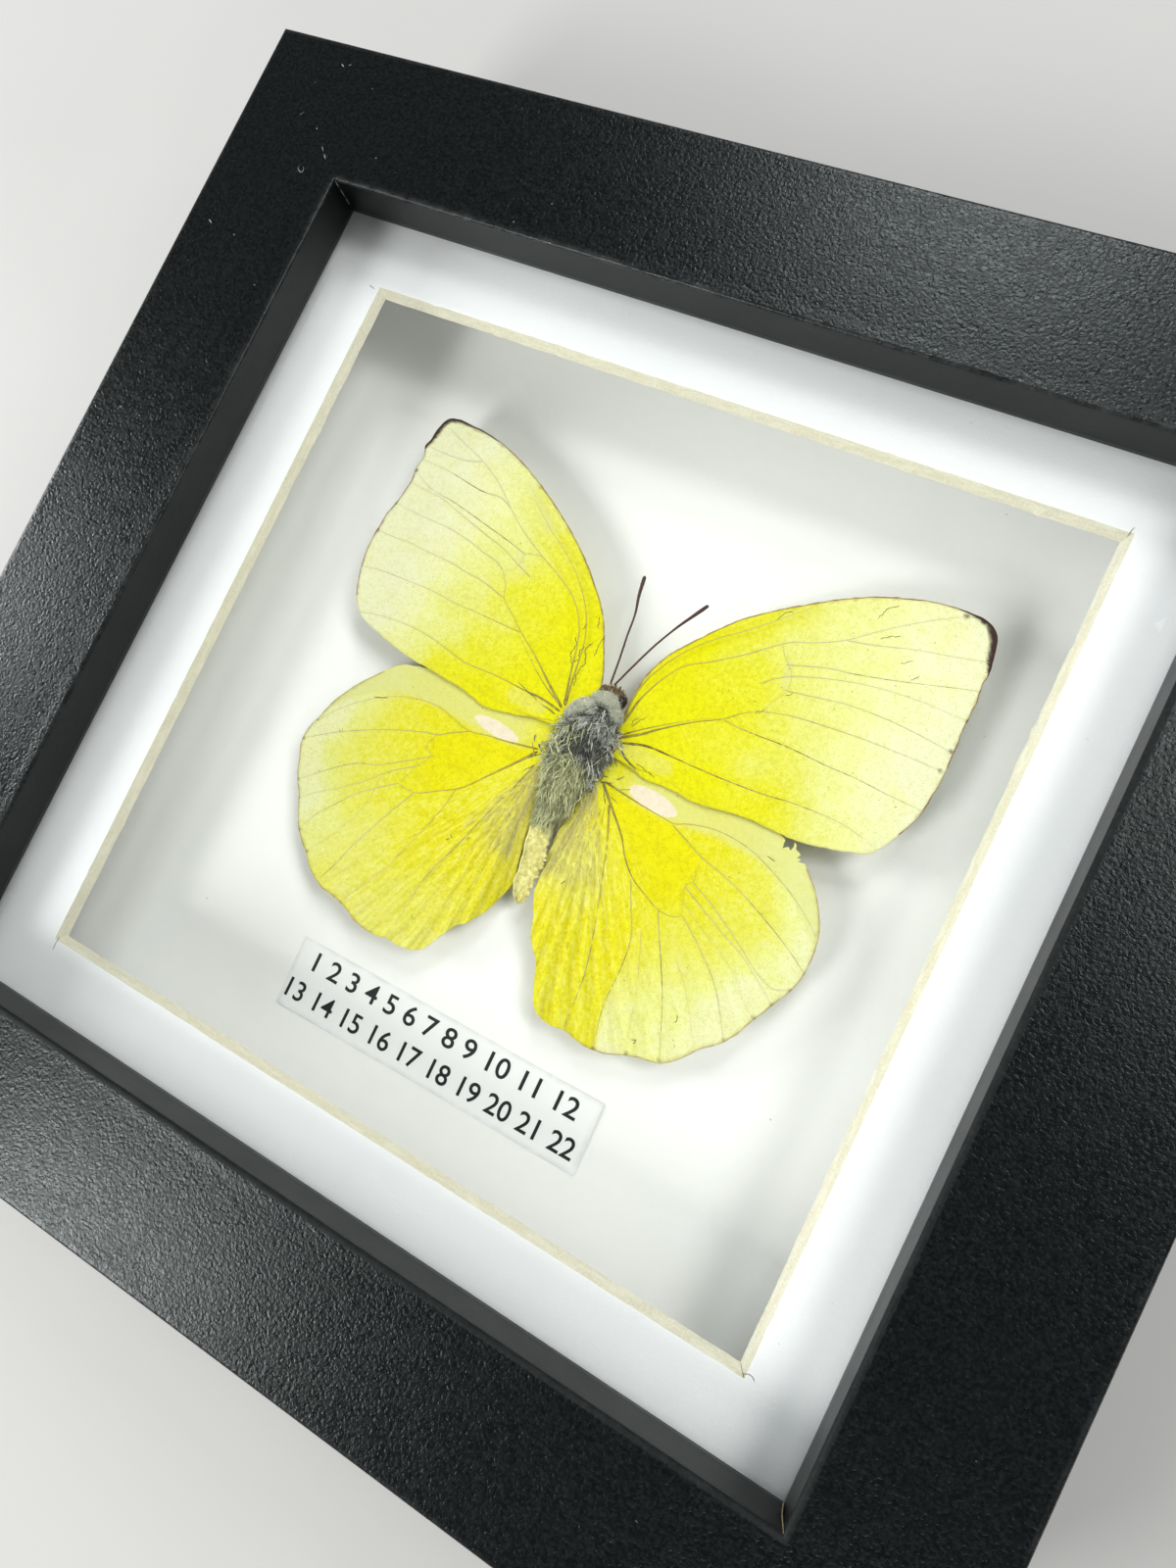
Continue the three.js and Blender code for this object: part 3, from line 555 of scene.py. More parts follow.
def glass():
    """A thin clear pane: it lets light through and mirrors a little of it, more at a low angle."""
    k = Mat("glass")
    k.t.nodes.remove(k.b)
    clear = k.node('ShaderNodeBsdfTransparent')
    film = k.range(k.noise(24, 4, 0.6, 0.8), 0.3, 0.75)
    k.put(clear.inputs[0], k.mix(film, (0.985, 0.992, 0.988), (0.972, 0.982, 0.978)))
    shine = k.node('ShaderNodeBsdfGlossy')
    shine.inputs['Roughness'].default_value = 0.02
    shine.inputs[0].default_value = (1, 1, 1, 1)
    fres = k.node('ShaderNodeFresnel')
    fres.inputs['IOR'].default_value = 1.35
    mx = k.node('ShaderNodeMixShader')
    k.put(mx.inputs[0], k.math('MULTIPLY', fres.outputs[0], 0.34))
    k.t.links.new(clear.outputs[0], mx.inputs[1])
    k.t.links.new(shine.outputs[0], mx.inputs[2])
    k.t.links.new(mx.outputs[0], k.out.inputs[0])
    return k.m


def floor_mat():
    k = Mat("table", Roughness=0.7, Specular_IOR_Level=0.25)
    n = k.noise(60, 3, 0.5)
    k.set(Base_Color=k.mix(k.range(n, 0.3, 0.7), (0.375, 0.377, 0.366), (0.392, 0.394, 0.383)))
    return k.m


M_MAT, M_CORE, M_CARD, M_PAPER, M_INK = board_white(), board_core(), card_white(), paper(), ink()
M_BOARD, M_STEEL, M_GLASS = hardboard(), steel(), glass()


def wing_material(name, hind, patches=()):
    """Scaled membrane. Attributes: pale (0 base, 1 outer field), rim (thin brown edge), apex (black margin), thin (see-
    through costal strip), tan (brownish fold by the body; on the hindwings it also paints shade along the inner margin
    beside the abdomen), rib (0 at a vein, 1 between veins)."""
    k = Mat(name, Specular_IOR_Level=0.10, Sheen_Weight=0.02, Sheen_Roughness=0.5)
    k.b.inputs['Sheen Tint'].default_value = (1.0, 0.98, 0.7, 1)
    dust = k.noise(0.20, 2, 0.5)
    grain = k.noise(0.62, 5, 0.72, 0.3)
    cloud = k.noise(4.2, 3, 0.55, 0.5)
    pale = k.math('ADD', k.attr('pale'), k.range(cloud, 0.25, 0.75, -0.10, 0.10), clamp=True)
    if hind:
        stops = [(0.0, (0.67, 0.61, 0.001)), (0.3, (0.66, 0.62, 0.012)), (0.58, (0.66, 0.64, 0.085)), (0.85, (0.68, 0.69, 0.22)), (1.0, (0.70, 0.71, 0.38))]
    else:
        stops = [(0.0, (0.66, 0.63, 0.001)), (0.28, (0.66, 0.64, 0.028)), (0.52, (0.67, 0.67, 0.16)), (0.78, (0.715, 0.72, 0.30)), (1.0, (0.745, 0.75, 0.49))]
    c = k.ramp(pale, stops)
    c = k.mix(k.math('MULTIPLY', k.range(grain, 0.49, 0.64, 0, 0.6), k.range(pale, 0.1, 0.6, 1.0, 0.55)), c, k.mix(0.5, c, k.mix(k.range(pale, 0.05, 0.6), (0.80, 0.77, 0.004), (0.78, 0.78, 0.58))))
    c = k.mix(k.math('MULTIPLY', k.range(grain, 0.50, 0.36, 0, 0.55), k.range(pale, 0.1, 0.6, 1.0, 0.6)), c, k.mix(1.0, c, (0.80, 0.76, 0.45), 'MULTIPLY'))
    c = k.mix(k.range(dust, 0.56, 0.66, 0, 0.35), c, k.mix(1.0, c, (0.66, 0.64, 0.36), 'MULTIPLY'))
    # painted shade: the troughs of the pleats are darkened
    c = k.mix(k.math('MULTIPLY', k.attr('fold_shade'), 0.6), c, k.mix(1.0, c, (0.78, 0.70, 0.55), 'MULTIPLY'))
    if hind:
        # fine broken streaks run out from the wing's root
        fan = k.node('ShaderNodeCombineXYZ')
        k.put(fan.inputs[0], k.math('MULTIPLY', k.attr('fan'), 0.85))
        k.put(fan.inputs[1], k.math('MULTIPLY', k.attr('reach'), 0.42))
        streak = k.noise(1000, 3, 0.62, 0.25, co=fan.outputs[0])
        comb = k.attr('comb')
        c = k.mix(k.math('MULTIPLY', comb, k.range(streak, 0.47, 0.36, 0, 0.5)), c, k.mix(1.0, c, (0.88, 0.83, 0.74), 'MULTIPLY'))
        c = k.mix(k.math('MULTIPLY', comb, k.range(streak, 0.50, 0.64, 0, 0.6)), c, k.mix(0.5, c, (0.84, 0.80, 0.34)))
    # rows of scales between the veins look a little deeper beside them
    c = k.mix(k.math('MULTIPLY', k.range(k.attr('rib'), 0.0, 0.16, 1.0, 0.0), 0.30), c, k.mix(1.0, c, (0.88, 0.85, 0.62), 'MULTIPLY'))
    c = k.mix(k.math('MULTIPLY', k.attr('thin'), 0.62), c, (0.60, 0.60, 0.26))
    # tan is partly painted shade: on the hindwings it browns the inner margin beside the abdomen
    tan = k.math('MULTIPLY', k.attr('tan'), k.range(k.noise(1.1, 4, 0.65, 0.6), 0.28, 0.62, 0.35, 1.0))
    c = k.mix(k.math('MULTIPLY', tan, 0.66), c, k.mix(k.range(grain, 0.35, 0.65), (0.52, 0.45, 0.10), (0.70, 0.64, 0.22)))
    worn = k.math('MULTIPLY', k.range(k.noise(2.3, 5, 0.7, 0.8, k.mapping(k.co, loc=(2, 7, 3))), 0.60, 0.70), k.range(pale, 0.25, 0.7))
    c = k.mix(k.math('MULTIPLY', worn, 0.30), c, (0.68, 0.67, 0.50))
    speck = k.range(k.noise(0.6, 2, 0.5, 0, k.mapping(k.co, loc=(9, 1, 6))), 0.74, 0.775)
    c = k.mix(k.math('MULTIPLY', speck, 0.55), c, (0.22, 0.20, 0.08))
    for (px, py, ax, ay, ang) in patches:
        q = k.mapping(k.co, loc=(-px * MM, -py * MM, 0))
        q = k.mapping(q, rot=(0, 0, -ang))
        q = k.mapping(q, scale=(1000 / ax, 1000 / ay, 0))
        n = k.node('ShaderNodeVectorMath', operation='LENGTH')
        k.put(n.inputs[0], q)
        r = k.math('ADD', n.outputs['Value'], k.range(k.noise(0.7, 3, 0.6), 0.2, 0.8, -0.06, 0.06))
        c = k.mix(k.range(r, 0.93, 1.03, 0.95, 0.0), c, k.mix(k.range(grain, 0.35, 0.7), (0.70, 0.59, 0.46), (0.78, 0.69, 0.57)))
    rim = k.math('MULTIPLY', k.attr('rim'), k.range(k.noise(1.3, 3, 0.6, 0, k.mapping(k.co, loc=(6, 3, 1))), 0.3, 0.6, 0.45, 1.0))
    c = k.mix(rim, c, (0.30, 0.20, 0.05) if hind else (0.23, 0.13, 0.05))
    c = k.mix(k.attr('apex'), c, (0.045, 0.022, 0.018))
    h = k.math('ADD', k.math('MULTIPLY', dust, 0.5), grain)
    k.set(Base_Color=c, Roughness=k.range(grain, 0.3, 0.7, 0.62, 0.80), Normal=k.bump(h, 0.060, 1.0))
    return k.m


def vein_material():
    k = Mat("vein", Specular_IOR_Level=0.3)
    t, dark = k.attr('t'), k.attr('dark')
    c = k.ramp(t, [(0.0, (0.36, 0.30, 0.03)), (0.35, (0.42, 0.37, 0.06)), (0.7, (0.47, 0.43, 0.27)), (1.0, (0.50, 0.46, 0.37))])
    c = k.mix(k.math('MULTIPLY', dark, k.range(k.noise(0.8, 3, 0.6, 0, k.mapping(k.co, loc=(1, 1, 4))), 0.34, 0.58)), c, (0.095, 0.058, 0.024))
    k.set(Base_Color=c, Roughness=k.range(k.noise(0.3), 0.3, 0.7, 0.5, 0.7), Normal=k.bump(k.noise(0.15), 0.01, 1.0))
    return k.m


def crack_material():
    k = Mat("crack", Specular_IOR_Level=0.2, Roughness=0.8)
    n = k.noise(0.35, 3, 0.6)
    k.set(Base_Color=k.mix(k.range(n, 0.35, 0.65), (0.05, 0.06, 0.02), (0.20, 0.21, 0.10)), Roughness=k.range(n, 0.3, 0.7, 0.7, 0.9))
    return k.m


def hair_material(name, dark, light, rough=0.55, mm=0.7):
    k = Mat(name, Specular_IOR_Level=0.22, Sheen_Weight=0.05, Sheen_Roughness=0.4)
    v = k.math('ADD', k.math('MULTIPLY', k.attr('tone'), 0.75), k.math('MULTIPLY', k.range(k.noise(mm, 3), 0.3, 0.7), 0.25), clamp=True)
    k.set(Base_Color=k.mix(v, dark, light), Roughness=k.range(k.noise(0.2), 0.3, 0.7, rough - 0.1, rough + 0.1))
    return k.m


M_FORE_L = wing_material("wing_fore", False)
M_VEIN, M_CRACK = vein_material(), crack_material()

# ---- the frame's rails ------------------------------------------------------------------------------------------------
OUT_X, OUT_Y, DEPTH, RAIL, LIP, UNDERCUT, REBATE = 150.0, 148.9, 30.0, 18.62, 6.66, 0.66, 6.0
CARD_TOP = 8.3


def arc(cx, cz, r, a0, a1, n):
    return [(cx + r * math.cos(math.radians(a)), cz + r * math.sin(math.radians(a))) for a in np.linspace(a0, a1, n)]


def rail_profile():
    """(u from the inner front edge; z; edge lightening, for worn foil and on the inner edge also a painted highlight; 1
    for the plain inner wall) round the moulding, closed.
    """
    p = []
    for z in np.linspace(DEPTH - LIP, DEPTH - 0.5, 9):
        u = UNDERCUT * (DEPTH - z) / LIP
        p.append((u, z, 0.0, 1))
    p += [(u, z, 0.55, 1 if i < 2 else 0) for i, (u, z) in enumerate(arc(0.42, DEPTH - 0.38, 0.38, 175, 92, 8))]
    p += [(0.55, DEPTH, 0.3, 0), (0.75, DEPTH, 0.1, 0), (1.1, DEPTH, 0.0, 0), (1.6, DEPTH, 0.0, 0)]
    p += [(u, DEPTH, 0.0, 0) for u in (2.2, 2.55, 2.85, 3.15, 3.8, 4.1, 4.4, 5.4, 5.95, 6.2, 6.45, 8.0, 9.6, 11.2, 12.8, 14.4, 16.0, RAIL - 1.2)]
    p += [(RAIL - 0.85, DEPTH, 0.0, 0)]
    p += [(u, z, 0.6, 0) for u, z in arc(RAIL - 0.6, DEPTH - 0.6, 0.6, 89, 2, 8)]
    p += [(RAIL, z, 0.0, 0) for z in np.linspace(DEPTH - 1.2, 1.0, 10)]
    p += [(u, z, 0.7, 0) for u, z in arc(RAIL - 0.35, 0.35, 0.35, 0, -90, 4)]
    p += [(u, 0.0, 0.0, 1) for u in np.linspace(RAIL - 1.2, REBATE + 0.5, 5)]
    p += [(REBATE + 0.12, 0.0, 0.4, 1), (REBATE, 0.12, 0.4, 1)]
    p += [(REBATE, z, 0.0, 1) for z in np.linspace(3.0, DEPTH - LIP, 5)]
    p += [(u, DEPTH - LIP, 0.0, 1) for u in (4.0, 2.0)]
    return p


def rail(node, half, cross, turn, seed, edge_wear_and_highlight, nicks=()):
    """The fifth argument sets how much lighter the inner edge is drawn: partly worn foil, partly a painted highlight,
    strongest on the top and left rails. nicks: (end, u) where the foil is rubbed through along the mitre.
    """
    r = np.random.default_rng(seed)
    prof = rail_profile()
    n = len(prof)
    s = np.linspace(-1, 1, 61)
    s = np.sign(s) * (1 - (1 - np.abs(s)) ** 1.12)
    s = np.concatenate([[-1, -1 + 0.10 / half], s[1:-1], [1 - 0.10 / half, 1]])
    m_ = len(s)
    verts, edge, dull = [], [], []
    wave = r.normal(0, 1, (m_, 3))
    for k in range(3):
        wave[:, k] = np.convolve(np.pad(wave[:, k], 6, mode='edge'), np.hanning(13) / np.hanning(13).sum(), 'valid')[:m_]
    for i in range(m_):
        for (u, z, e, _) in prof:
            x = s[i] * (half - (RAIL - u) - 0.004)
            calm = float(smoothstep(0.0, 9.0, half - (RAIL - u) - abs(x)))
            dz = 0.012 + 0.035 * abs(wave[i, 0]) * calm if 1.3 < u < RAIL - 1.3 and z > 25 else 0.0
            du = 0.03 * wave[i, 1] * calm if u < 0.7 and z > 24 else 0.0
            verts.append((x, cross - RAIL + u + du, z - abs(dz)))
            nick = max([0.0] + [3.4 * (1.0 - abs(u - at) / 0.12) for end, at in nicks if z == DEPTH and i == (0 if end < 0 else m_ - 1)])
            # the inner edge is drawn lighter by the per-rail factor: partly worn foil, partly a painted highlight
            edge.append(max(e * (edge_wear_and_highlight if u < 1.2 else 0.4), nick))
            dull.append(float(smoothstep(0.74, 0.5, u)) * (1.0 if z > DEPTH - 0.5 else 0.0) if edge_wear_and_highlight < 0.5 else 0.0)
    c, s_ = {0: (1, 0), 90: (0, 1), 180: (-1, 0), -90: (0, -1)}[turn]
    verts = [(x * c - y * s_, x * s_ + y * c, z) for x, y, z in verts]
    faces, mi = [], []
    for i in range(m_ - 1):
        for j in range(n):
            k = (j + 1) % n
            faces.append((i * n + j, (i + 1) * n + j, (i + 1) * n + k, i * n + k))
            mi.append(1 if prof[j][3] and prof[k][3] else 0)
    # the mitred ends carry their own corners, so the face's shading stops at them
    k = len(verts)
    verts += [verts[j] for j in range(n)] + [verts[(m_ - 1) * n + j] for j in range(n)]
    edge += [0.0] * (2 * n)
    dull += [0.0] * (2 * n)
    faces.append(tuple(k + j for j in range(n)))
    faces.append(tuple(k + n + j for j in range(n))[::-1])
    mi += [1, 1]
    flat = [True] * (len(faces) - 2) + [False, False]
    ob = make("frame_" + node, verts, faces, smooth=flat, attrs={"edge": edge, "dull": dull}, mats=(M_FOIL, M_FOIL_IN), mat_index=mi,
              slot="black_foil", replaces=[node])
    return ob


# the inner edge is drawn lightest on the top rail, then the left: a painted highlight as well as worn foil
rail("rail_top", OUT_X / 2, OUT_Y / 2, 0, 1, 1.0, ((-1, 4.1), (-1, 6.2)))
rail("rail_bottom", OUT_X / 2, OUT_Y / 2, 180, 2, 0.25)
rail("rail_left", OUT_Y / 2, OUT_X / 2, 90, 3, 0.7, ((1, 2.85),))
rail("rail_right", OUT_Y / 2, OUT_X / 2, -90, 4, 0.2)


def seams():
    """Where the wrap folds into two inner corners: a raised yellowish fold at one, a broken pale line at the other."""
    def corner(sx, sy, z, off):
        u = UNDERCUT * (DEPTH - z) / LIP
        return (sx * (OUT_X / 2 - RAIL + u - off), sy * (OUT_Y / 2 - RAIL + u - off), z)

    J = Join()
    z = np.linspace(23.7, 29.86, 26)
    t = np.linspace(0, 1, 26)
    q = np.array([corner(1, -1, zz, 0.10 + 0.10 * math.sin(math.pi * tt)) for zz, tt in zip(z, t)])
    q[:, 0] -= 0.10 * np.sin(t * 5.0) * t
    v, f = tube(q, 0.10 * np.interp(t, [0, 0.15, 0.8, 1], [0.5, 1.0, 0.8, 0.3]), 7, up=(1, 0, 0), flat=0.6)
    J.add(v, f, 0)
    for z0, z1, rad in ((28.5, 29.75, 0.05), (26.6, 28.1, 0.06), (24.9, 26.2, 0.05)):
        z = np.linspace(z0, z1, 9)
        t = np.linspace(0, 1, 9)
        v, f = tube(np.array([corner(-1, 1, zz, 0.05 + 0.02 * math.sin(7 * zz)) for zz in z]), rad * np.sin(math.pi * (0.12 + 0.76 * t)), 6, up=(1, 0, 0))
        J.add(v, f, 1)
    return J.make("corner_folds", mats=(body_material("fold_edge", (0.16, 0.12, 0.07), (0.40, 0.33, 0.22), 0.3), body_material("fold_pale", (0.12, 0.125, 0.125), (0.42, 0.43, 0.42), 0.3)),
                  slot="black_foil")


def scuffs():
    """Fine pale nicks in the wrap round one corner: dots, a broken line along the mitre, and one small ring, the
    painted highlight round a dent.
    """
    r = np.random.default_rng(77)
    J = Join()
    for pts, rad in (([(-63.75, 71.29), (-63.45, 71.10), (-63.18, 70.98)], 0.06), ([(-62.55, 71.29), (-62.31, 71.57)], 0.05), ([(-62.64, 61.90), (-62.37, 61.64)], 0.055),
                     ([(-60.53, 59.71), (-60.20, 59.34), (-59.88, 59.00)], 0.050), ([(-59.63, 58.78), (-59.36, 58.42), (-59.05, 58.08)], 0.055),
                     ([(-62.36, 56.20), (-62.30, 55.92), (-62.09, 55.69), (-61.80, 55.50), (-61.56, 55.45), (-61.40, 55.60), (-61.36, 55.83), (-61.48, 56.08), (-61.66, 56.28)], 0.035),
                     ([(-71.36, 45.56), (-71.00, 45.42), (-70.64, 45.15)], 0.075), ([(-66.04, 62.85), (-65.70, 63.30), (-65.39, 63.71)], 0.022)):
        q = resample(np.array(pts, float), 0.08)
        q = q + r.normal(0, 0.012, q.shape)
        t = np.linspace(0, 1, len(q))
        v, f = tube(np.c_[q, np.full(len(q), DEPTH - 0.015)], rad * (0.25 + 0.75 * np.sin(math.pi * t)) * r.uniform(0.8, 1.15, len(q)), 6, flat=0.16)
        J.add(v, f, 0)
    return J.make("foil_scuffs", mats=(body_material("foil_scuff", (0.10, 0.103, 0.103), (0.42, 0.43, 0.42), 0.25),), slot="black_foil")


# ---- window mat -------------------------------------------------------------------------------------------------------
PX, PY = OUT_X - 2 * (RAIL - REBATE + 0.3), OUT_Y - 2 * (RAIL - REBATE + 0.3)
MAT_TOP, MAT_T, BEVEL = 21.34, 1.2, 0.82
WINDOW = [(-49.39, 48.63), (49.09, 49.19), (49.41, -49.27), (-48.42, -48.97)]


def window_mat():
    r = np.random.default_rng(21)
    N = 220
    out = [(-PX / 2, PY / 2), (PX / 2, PY / 2), (PX / 2, -PY / 2), (-PX / 2, -PY / 2)]
    inn = [(x - math.copysign(BEVEL, x), y - math.copysign(BEVEL, y)) for x, y in WINDOW]

    def ring(corners, z, wob=0.0, nick=0.0):
        pts = []
        for a in range(4):
            p, q = np.array(corners[a]), np.array(corners[(a + 1) % 4])
            d = (q - p) / np.linalg.norm(q - p)
            nrm = np.array([d[1], -d[0]])          # into the window
            t = np.linspace(0, 1, N, endpoint=False)
            w = np.convolve(r.normal(0, 1, N + 8), np.hanning(9) / 3.0, 'valid')[:N] * wob + r.normal(0, wob * 0.35, N)
            w[0] = 0
            if nick:
                for _ in range(7):
                    c = r.integers(6, N - 6)
                    w[c - 1:c + 2] += nick * r.uniform(0.3, 1.0) * np.array([0.4, 1, 0.5]) * r.choice([-1, 1])
            base = p + t[:, None] * (q - p) + nrm * w[:, None]
            pts += [(x, y, z) for x, y in base]
        return pts

    def mixr(a, b, f, z, wob):
        return [(p[0] + (q[0] - p[0]) * f + r.normal(0, wob), p[1] + (q[1] - p[1]) * f + r.normal(0, wob), z) for p, q in zip(a, b)]

    o_top = ring(out, MAT_TOP)
    w_top = ring(WINDOW, MAT_TOP - 0.03, 0.018, 0.10)
    w_lip = [(x + math.copysign(0.07, x), y + math.copysign(0.07, y), MAT_TOP) for x, y, z in w_top]
    w_bot = ring(inn, MAT_TOP - MAT_T, 0.035, 0.16)
    b1 = mixr(w_top, w_bot, 0.33, MAT_TOP - 0.03 - 0.38, 0.012)
    b2 = mixr(w_top, w_bot, 0.66, MAT_TOP - 0.03 - 0.76, 0.012)
    o_bot = ring(out, MAT_TOP - MAT_T)
    mid_t = mixr(o_top, w_lip, 0.5, MAT_TOP, 0)
    mid_b = mixr(w_bot, o_bot, 0.5, MAT_TOP - MAT_T, 0)
    rings = [o_top, mid_t, w_lip, w_top, b1, b2, w_bot, mid_b, o_bot]
    core = [0, 0, 0, 1, 1, 1, 0, 0, 1]
    M = 4 * N
    v = [p for g in rings for p in g]
    f, mi = [], []
    for k in range(len(rings)):
        k2 = (k + 1) % len(rings)
        for i in range(M):
            j = (i + 1) % M
            f.append((k * M + i, k * M + j, k2 * M + j, k2 * M + i))
            mi.append(core[k])
    J = Join()
    J.add(v, [g[::-1] for g in f])
    J.mi = mi
    # the cutter ran a little past the corners of the window and left fine slits in the face; they are drawn as dark
    # lines of painted shade
    ticks = [[(-50.02, 48.08), (-50.5, 48.26), (-51.0, 48.38)], [(48.51, 48.55), (48.66, 49.44), (48.8, 49.86)],
             [(49.0, -48.94), (49.59, -48.57), (50.05, -48.61), (50.41, -48.92)], [(-47.84, -48.41), (-47.97, -49.33), (-47.89, -50.29)]]
    for t in ticks:
        q = resample(np.array(t, float), 0.2)
        q3 = np.c_[q, np.full(len(q), MAT_TOP + 0.008)]
        tv, tf = tube(q3, np.r_[0.02, np.full(len(q) - 2, 0.05), 0.02], 6, flat=0.4)
        J.add(tv, tf, 2)
    # and cracked the bevel at one corner, drawn as a dark line of painted shade
    q = np.array([(48.66, -48.50, MAT_TOP - 1.10), (48.86, -48.76, MAT_TOP - 0.78), (49.10, -48.93, MAT_TOP - 0.42), (49.30, -49.20, MAT_TOP - 0.06)])
    tv, tf = tube(q, [0.05, 0.06, 0.045, 0.03], 6)
    J.add(tv, tf, 2)
    return J.make("mat_window", smooth=False, mats=(M_MAT, M_CORE, M_SLIT_SHADE), slot="mat_board", replaces=["window_mat"])


def slit():
    # a dark line that paints the shade inside a cut
    k = Mat("mat_slit_shade", Roughness=0.9, Specular_IOR_Level=0.2)
    n = k.noise(0.3, 3, 0.6)
    k.set(Base_Color=k.mix(k.range(n, 0.3, 0.7), (0.10, 0.09, 0.07), (0.36, 0.32, 0.25)))
    return k.m


M_SLIT_SHADE = slit()
window_mat()

# ---- label: paper with plain numerals in place of the printed lines ----------------------------------------------------
def label():
    r = np.random.default_rng(5)
    c = [np.array(p) for p in ((-22.37, -35.53), (23.95, -35.16), (24.28, -44.74), (-21.93, -45.31))]
    nx, ny = 60, 14
    J = Join()
    grid, edge = [], []
    for j in range(ny + 1):
        for i in range(nx + 1):
            a, b = i / nx, j / ny
            p = (c[0] * (1 - a) + c[1] * a) * (1 - b) + (c[3] * (1 - a) + c[2] * a) * b
            d = min(a * 46, (1 - a) * 46, b * 9.6, (1 - b) * 9.6)
            lift = 0.10 * smoothstep(9, 0, math.hypot((1 - a) * 46, b * 9.6)) + 0.05 * smoothstep(8, 0, math.hypot(a * 46, (1 - b) * 9.6))
            grid.append((p[0], p[1], 8.375 + float(lift) + 0.01 * math.sin(a * 9)))
            # edge marks the band along the rim that the paper material greys as painted shade
            edge.append(float(smoothstep(0.5, 0.0, d)))
    n = len(grid)
    v = grid + [(x, y, z - 0.065) for x, y, z in grid]
    f = []
    W = nx + 1
    for j in range(ny):
        for i in range(nx):
            a = j * W + i
            f.append((a, a + W, a + W + 1, a + 1))
            f.append((a + n, a + 1 + n, a + W + 1 + n, a + W + n))
    rim = [i for i in range(W)] + [j * W + nx for j in range(1, ny + 1)] + [ny * W + i for i in range(nx - 1, -1, -1)] + [j * W for j in range(ny - 1, 0, -1)]
    for a, b in zip(rim, rim[1:] + rim[:1]):
        f.append((a, b, b + n, a + n))
    J.add(v, f, 0, edge=edge + edge)

    # numerals, converted from Blender's own plain typeface to mesh and laid along the strip
    u = (c[1] - c[0]) / np.linalg.norm(c[1] - c[0])
    w = np.array([-u[1], u[0]])

    def line(text, origin, height, width):
        cu = bpy.data.curves.new("numerals", 'FONT')
        cu.body = text
        cu.size = 1.0
        cu.offset = 0.010
        cu.resolution_u = 5
        ob = bpy.data.objects.new("numerals", cu)
        scene.collection.objects.link(ob)
        me = bpy.data.meshes.new_from_object(ob.evaluated_get(bpy.context.evaluated_depsgraph_get()))
        co = np.array([q.co[:] for q in me.vertices])[:, :2]
        tri = [tuple(q.vertices) for q in me.polygons]
        bpy.data.objects.remove(ob)
        bpy.data.curves.remove(cu)
        bpy.data.meshes.remove(me)
        co[:, 0] = (co[:, 0] - co[:, 0].min()) / np.ptp(co[:, 0]) * width
        co[:, 1] = (co[:, 1] - co[:, 1].min()) / np.ptp(co[:, 1]) * height
        # weld, then close every numeral as a thin solid
        key = {}
        idx = [key.setdefault((round(x, 4), round(y, 4)), len(key)) for x, y in co]
        pts = np.zeros((len(key), 2))
        for (x, y), k in zip(co, idx):
            pts[k] = (x, y)
        fs = []
        for g in tri:
            g = [idx[i] for i in g]
            g = [a for a, b in zip(g, g[1:] + g[:1]) if a != b]
            if len(g) > 2:
                fs.append(g)
        p = origin + pts[:, :1] * u + pts[:, 1:] * w
        area = sum((pts[g[0]][0] * pts[g[1]][1] - pts[g[1]][0] * pts[g[0]][1]) + (pts[g[1]][0] * pts[g[2]][1] - pts[g[2]][0] * pts[g[1]][1])
                   + (pts[g[2]][0] * pts[g[0]][1] - pts[g[0]][0] * pts[g[2]][1]) for g in fs if len(g) == 3)
        if area < 0:
            fs = [g[::-1] for g in fs]
        count = {}
        for g in fs:
            for a, b in zip(g, g[1:] + g[:1]):
                count[(a, b)] = count.get((a, b), 0) + 1
        m0 = len(p)
        zt = []
        for x, y in p:
            q = np.array([x, y]) - c[0]
            a = (q @ u) / 46.0
            b = -(q @ w) / 9.6
            zt.append(8.375 + 0.10 * float(smoothstep(9, 0, math.hypot((1 - a) * 46, b * 9.6))) + 0.05 * float(smoothstep(8, 0, math.hypot(a * 46, (1 - b) * 9.6))) + 0.01 * math.sin(a * 9))
        zt = np.array(zt)
        vv = np.vstack([np.c_[p, zt + 0.022], np.c_[p, zt - 0.01]])
        ff = [tuple(g) for g in fs] + [tuple(i + m0 for i in g[::-1]) for g in fs]
        for (a, b), k in count.items():
            if (b, a) not in count:
                ff.append((b, a, a + m0, b + m0))
        J.add(vv, ff, 1, edge=0.0)

    line("1 2 3 4 5 6 7 8 9 10 11 12", c[0] + u * 3.0 - w * 3.75, 2.75, 40.8)
    line("13 14 15 16 17 18 19 20 21 22", c[0] + u * 0.9 - w * 8.35, 2.75, 44.5)
    return J.make("specimen_label", smooth=False, mats=(M_PAPER, M_INK), slot="label_paper", replaces=["label"])


label()

# ---- wings ------------------------------------------------------------------------------------------------------------
BASE = {'LF': np.array([-1.0, 8.0]), 'RF': np.array([5.6, 8.0]), 'LH': np.array([-1.5, 0.8]), 'RH': np.array([6.2, 0.9])}
PLANE = {'LF': 13.1, 'RF': 13.1, 'LH': 12.1, 'RH': 12.1}
ORIENT = {'LF': 1, 'RF': 1, 'LH': 1, 'RH': 1}
VEINS = {w: {k: spline(p, 0.35) for k, p in d.items() if k != 'outline'} for w, d in WINGS.items()}
OUTLINE = {w: closed_spline(d['outline'], 0.24) for w, d in WINGS.items()}


def angle_from(p, b):
    return np.degrees(np.arctan2(p[:, 1] - b[1], p[:, 0] - b[0]))


def pleats(a, d):
    """Radial folds beside the body, wide ones with finer ones between; a is the angle off the body's line."""
    fold = np.abs(((a + 0.8 * np.sin(d * 0.31) + 0.05 * a * np.sin(d * 0.17)) / 5.3) % 1.0 - 0.5) * 2 - 0.5
    fine = np.abs(((a + 0.7 * np.sin(d * 0.4 + a * 0.3)) / 1.9) % 1.0 - 0.5) * 2 - 0.5
    return fold, fine


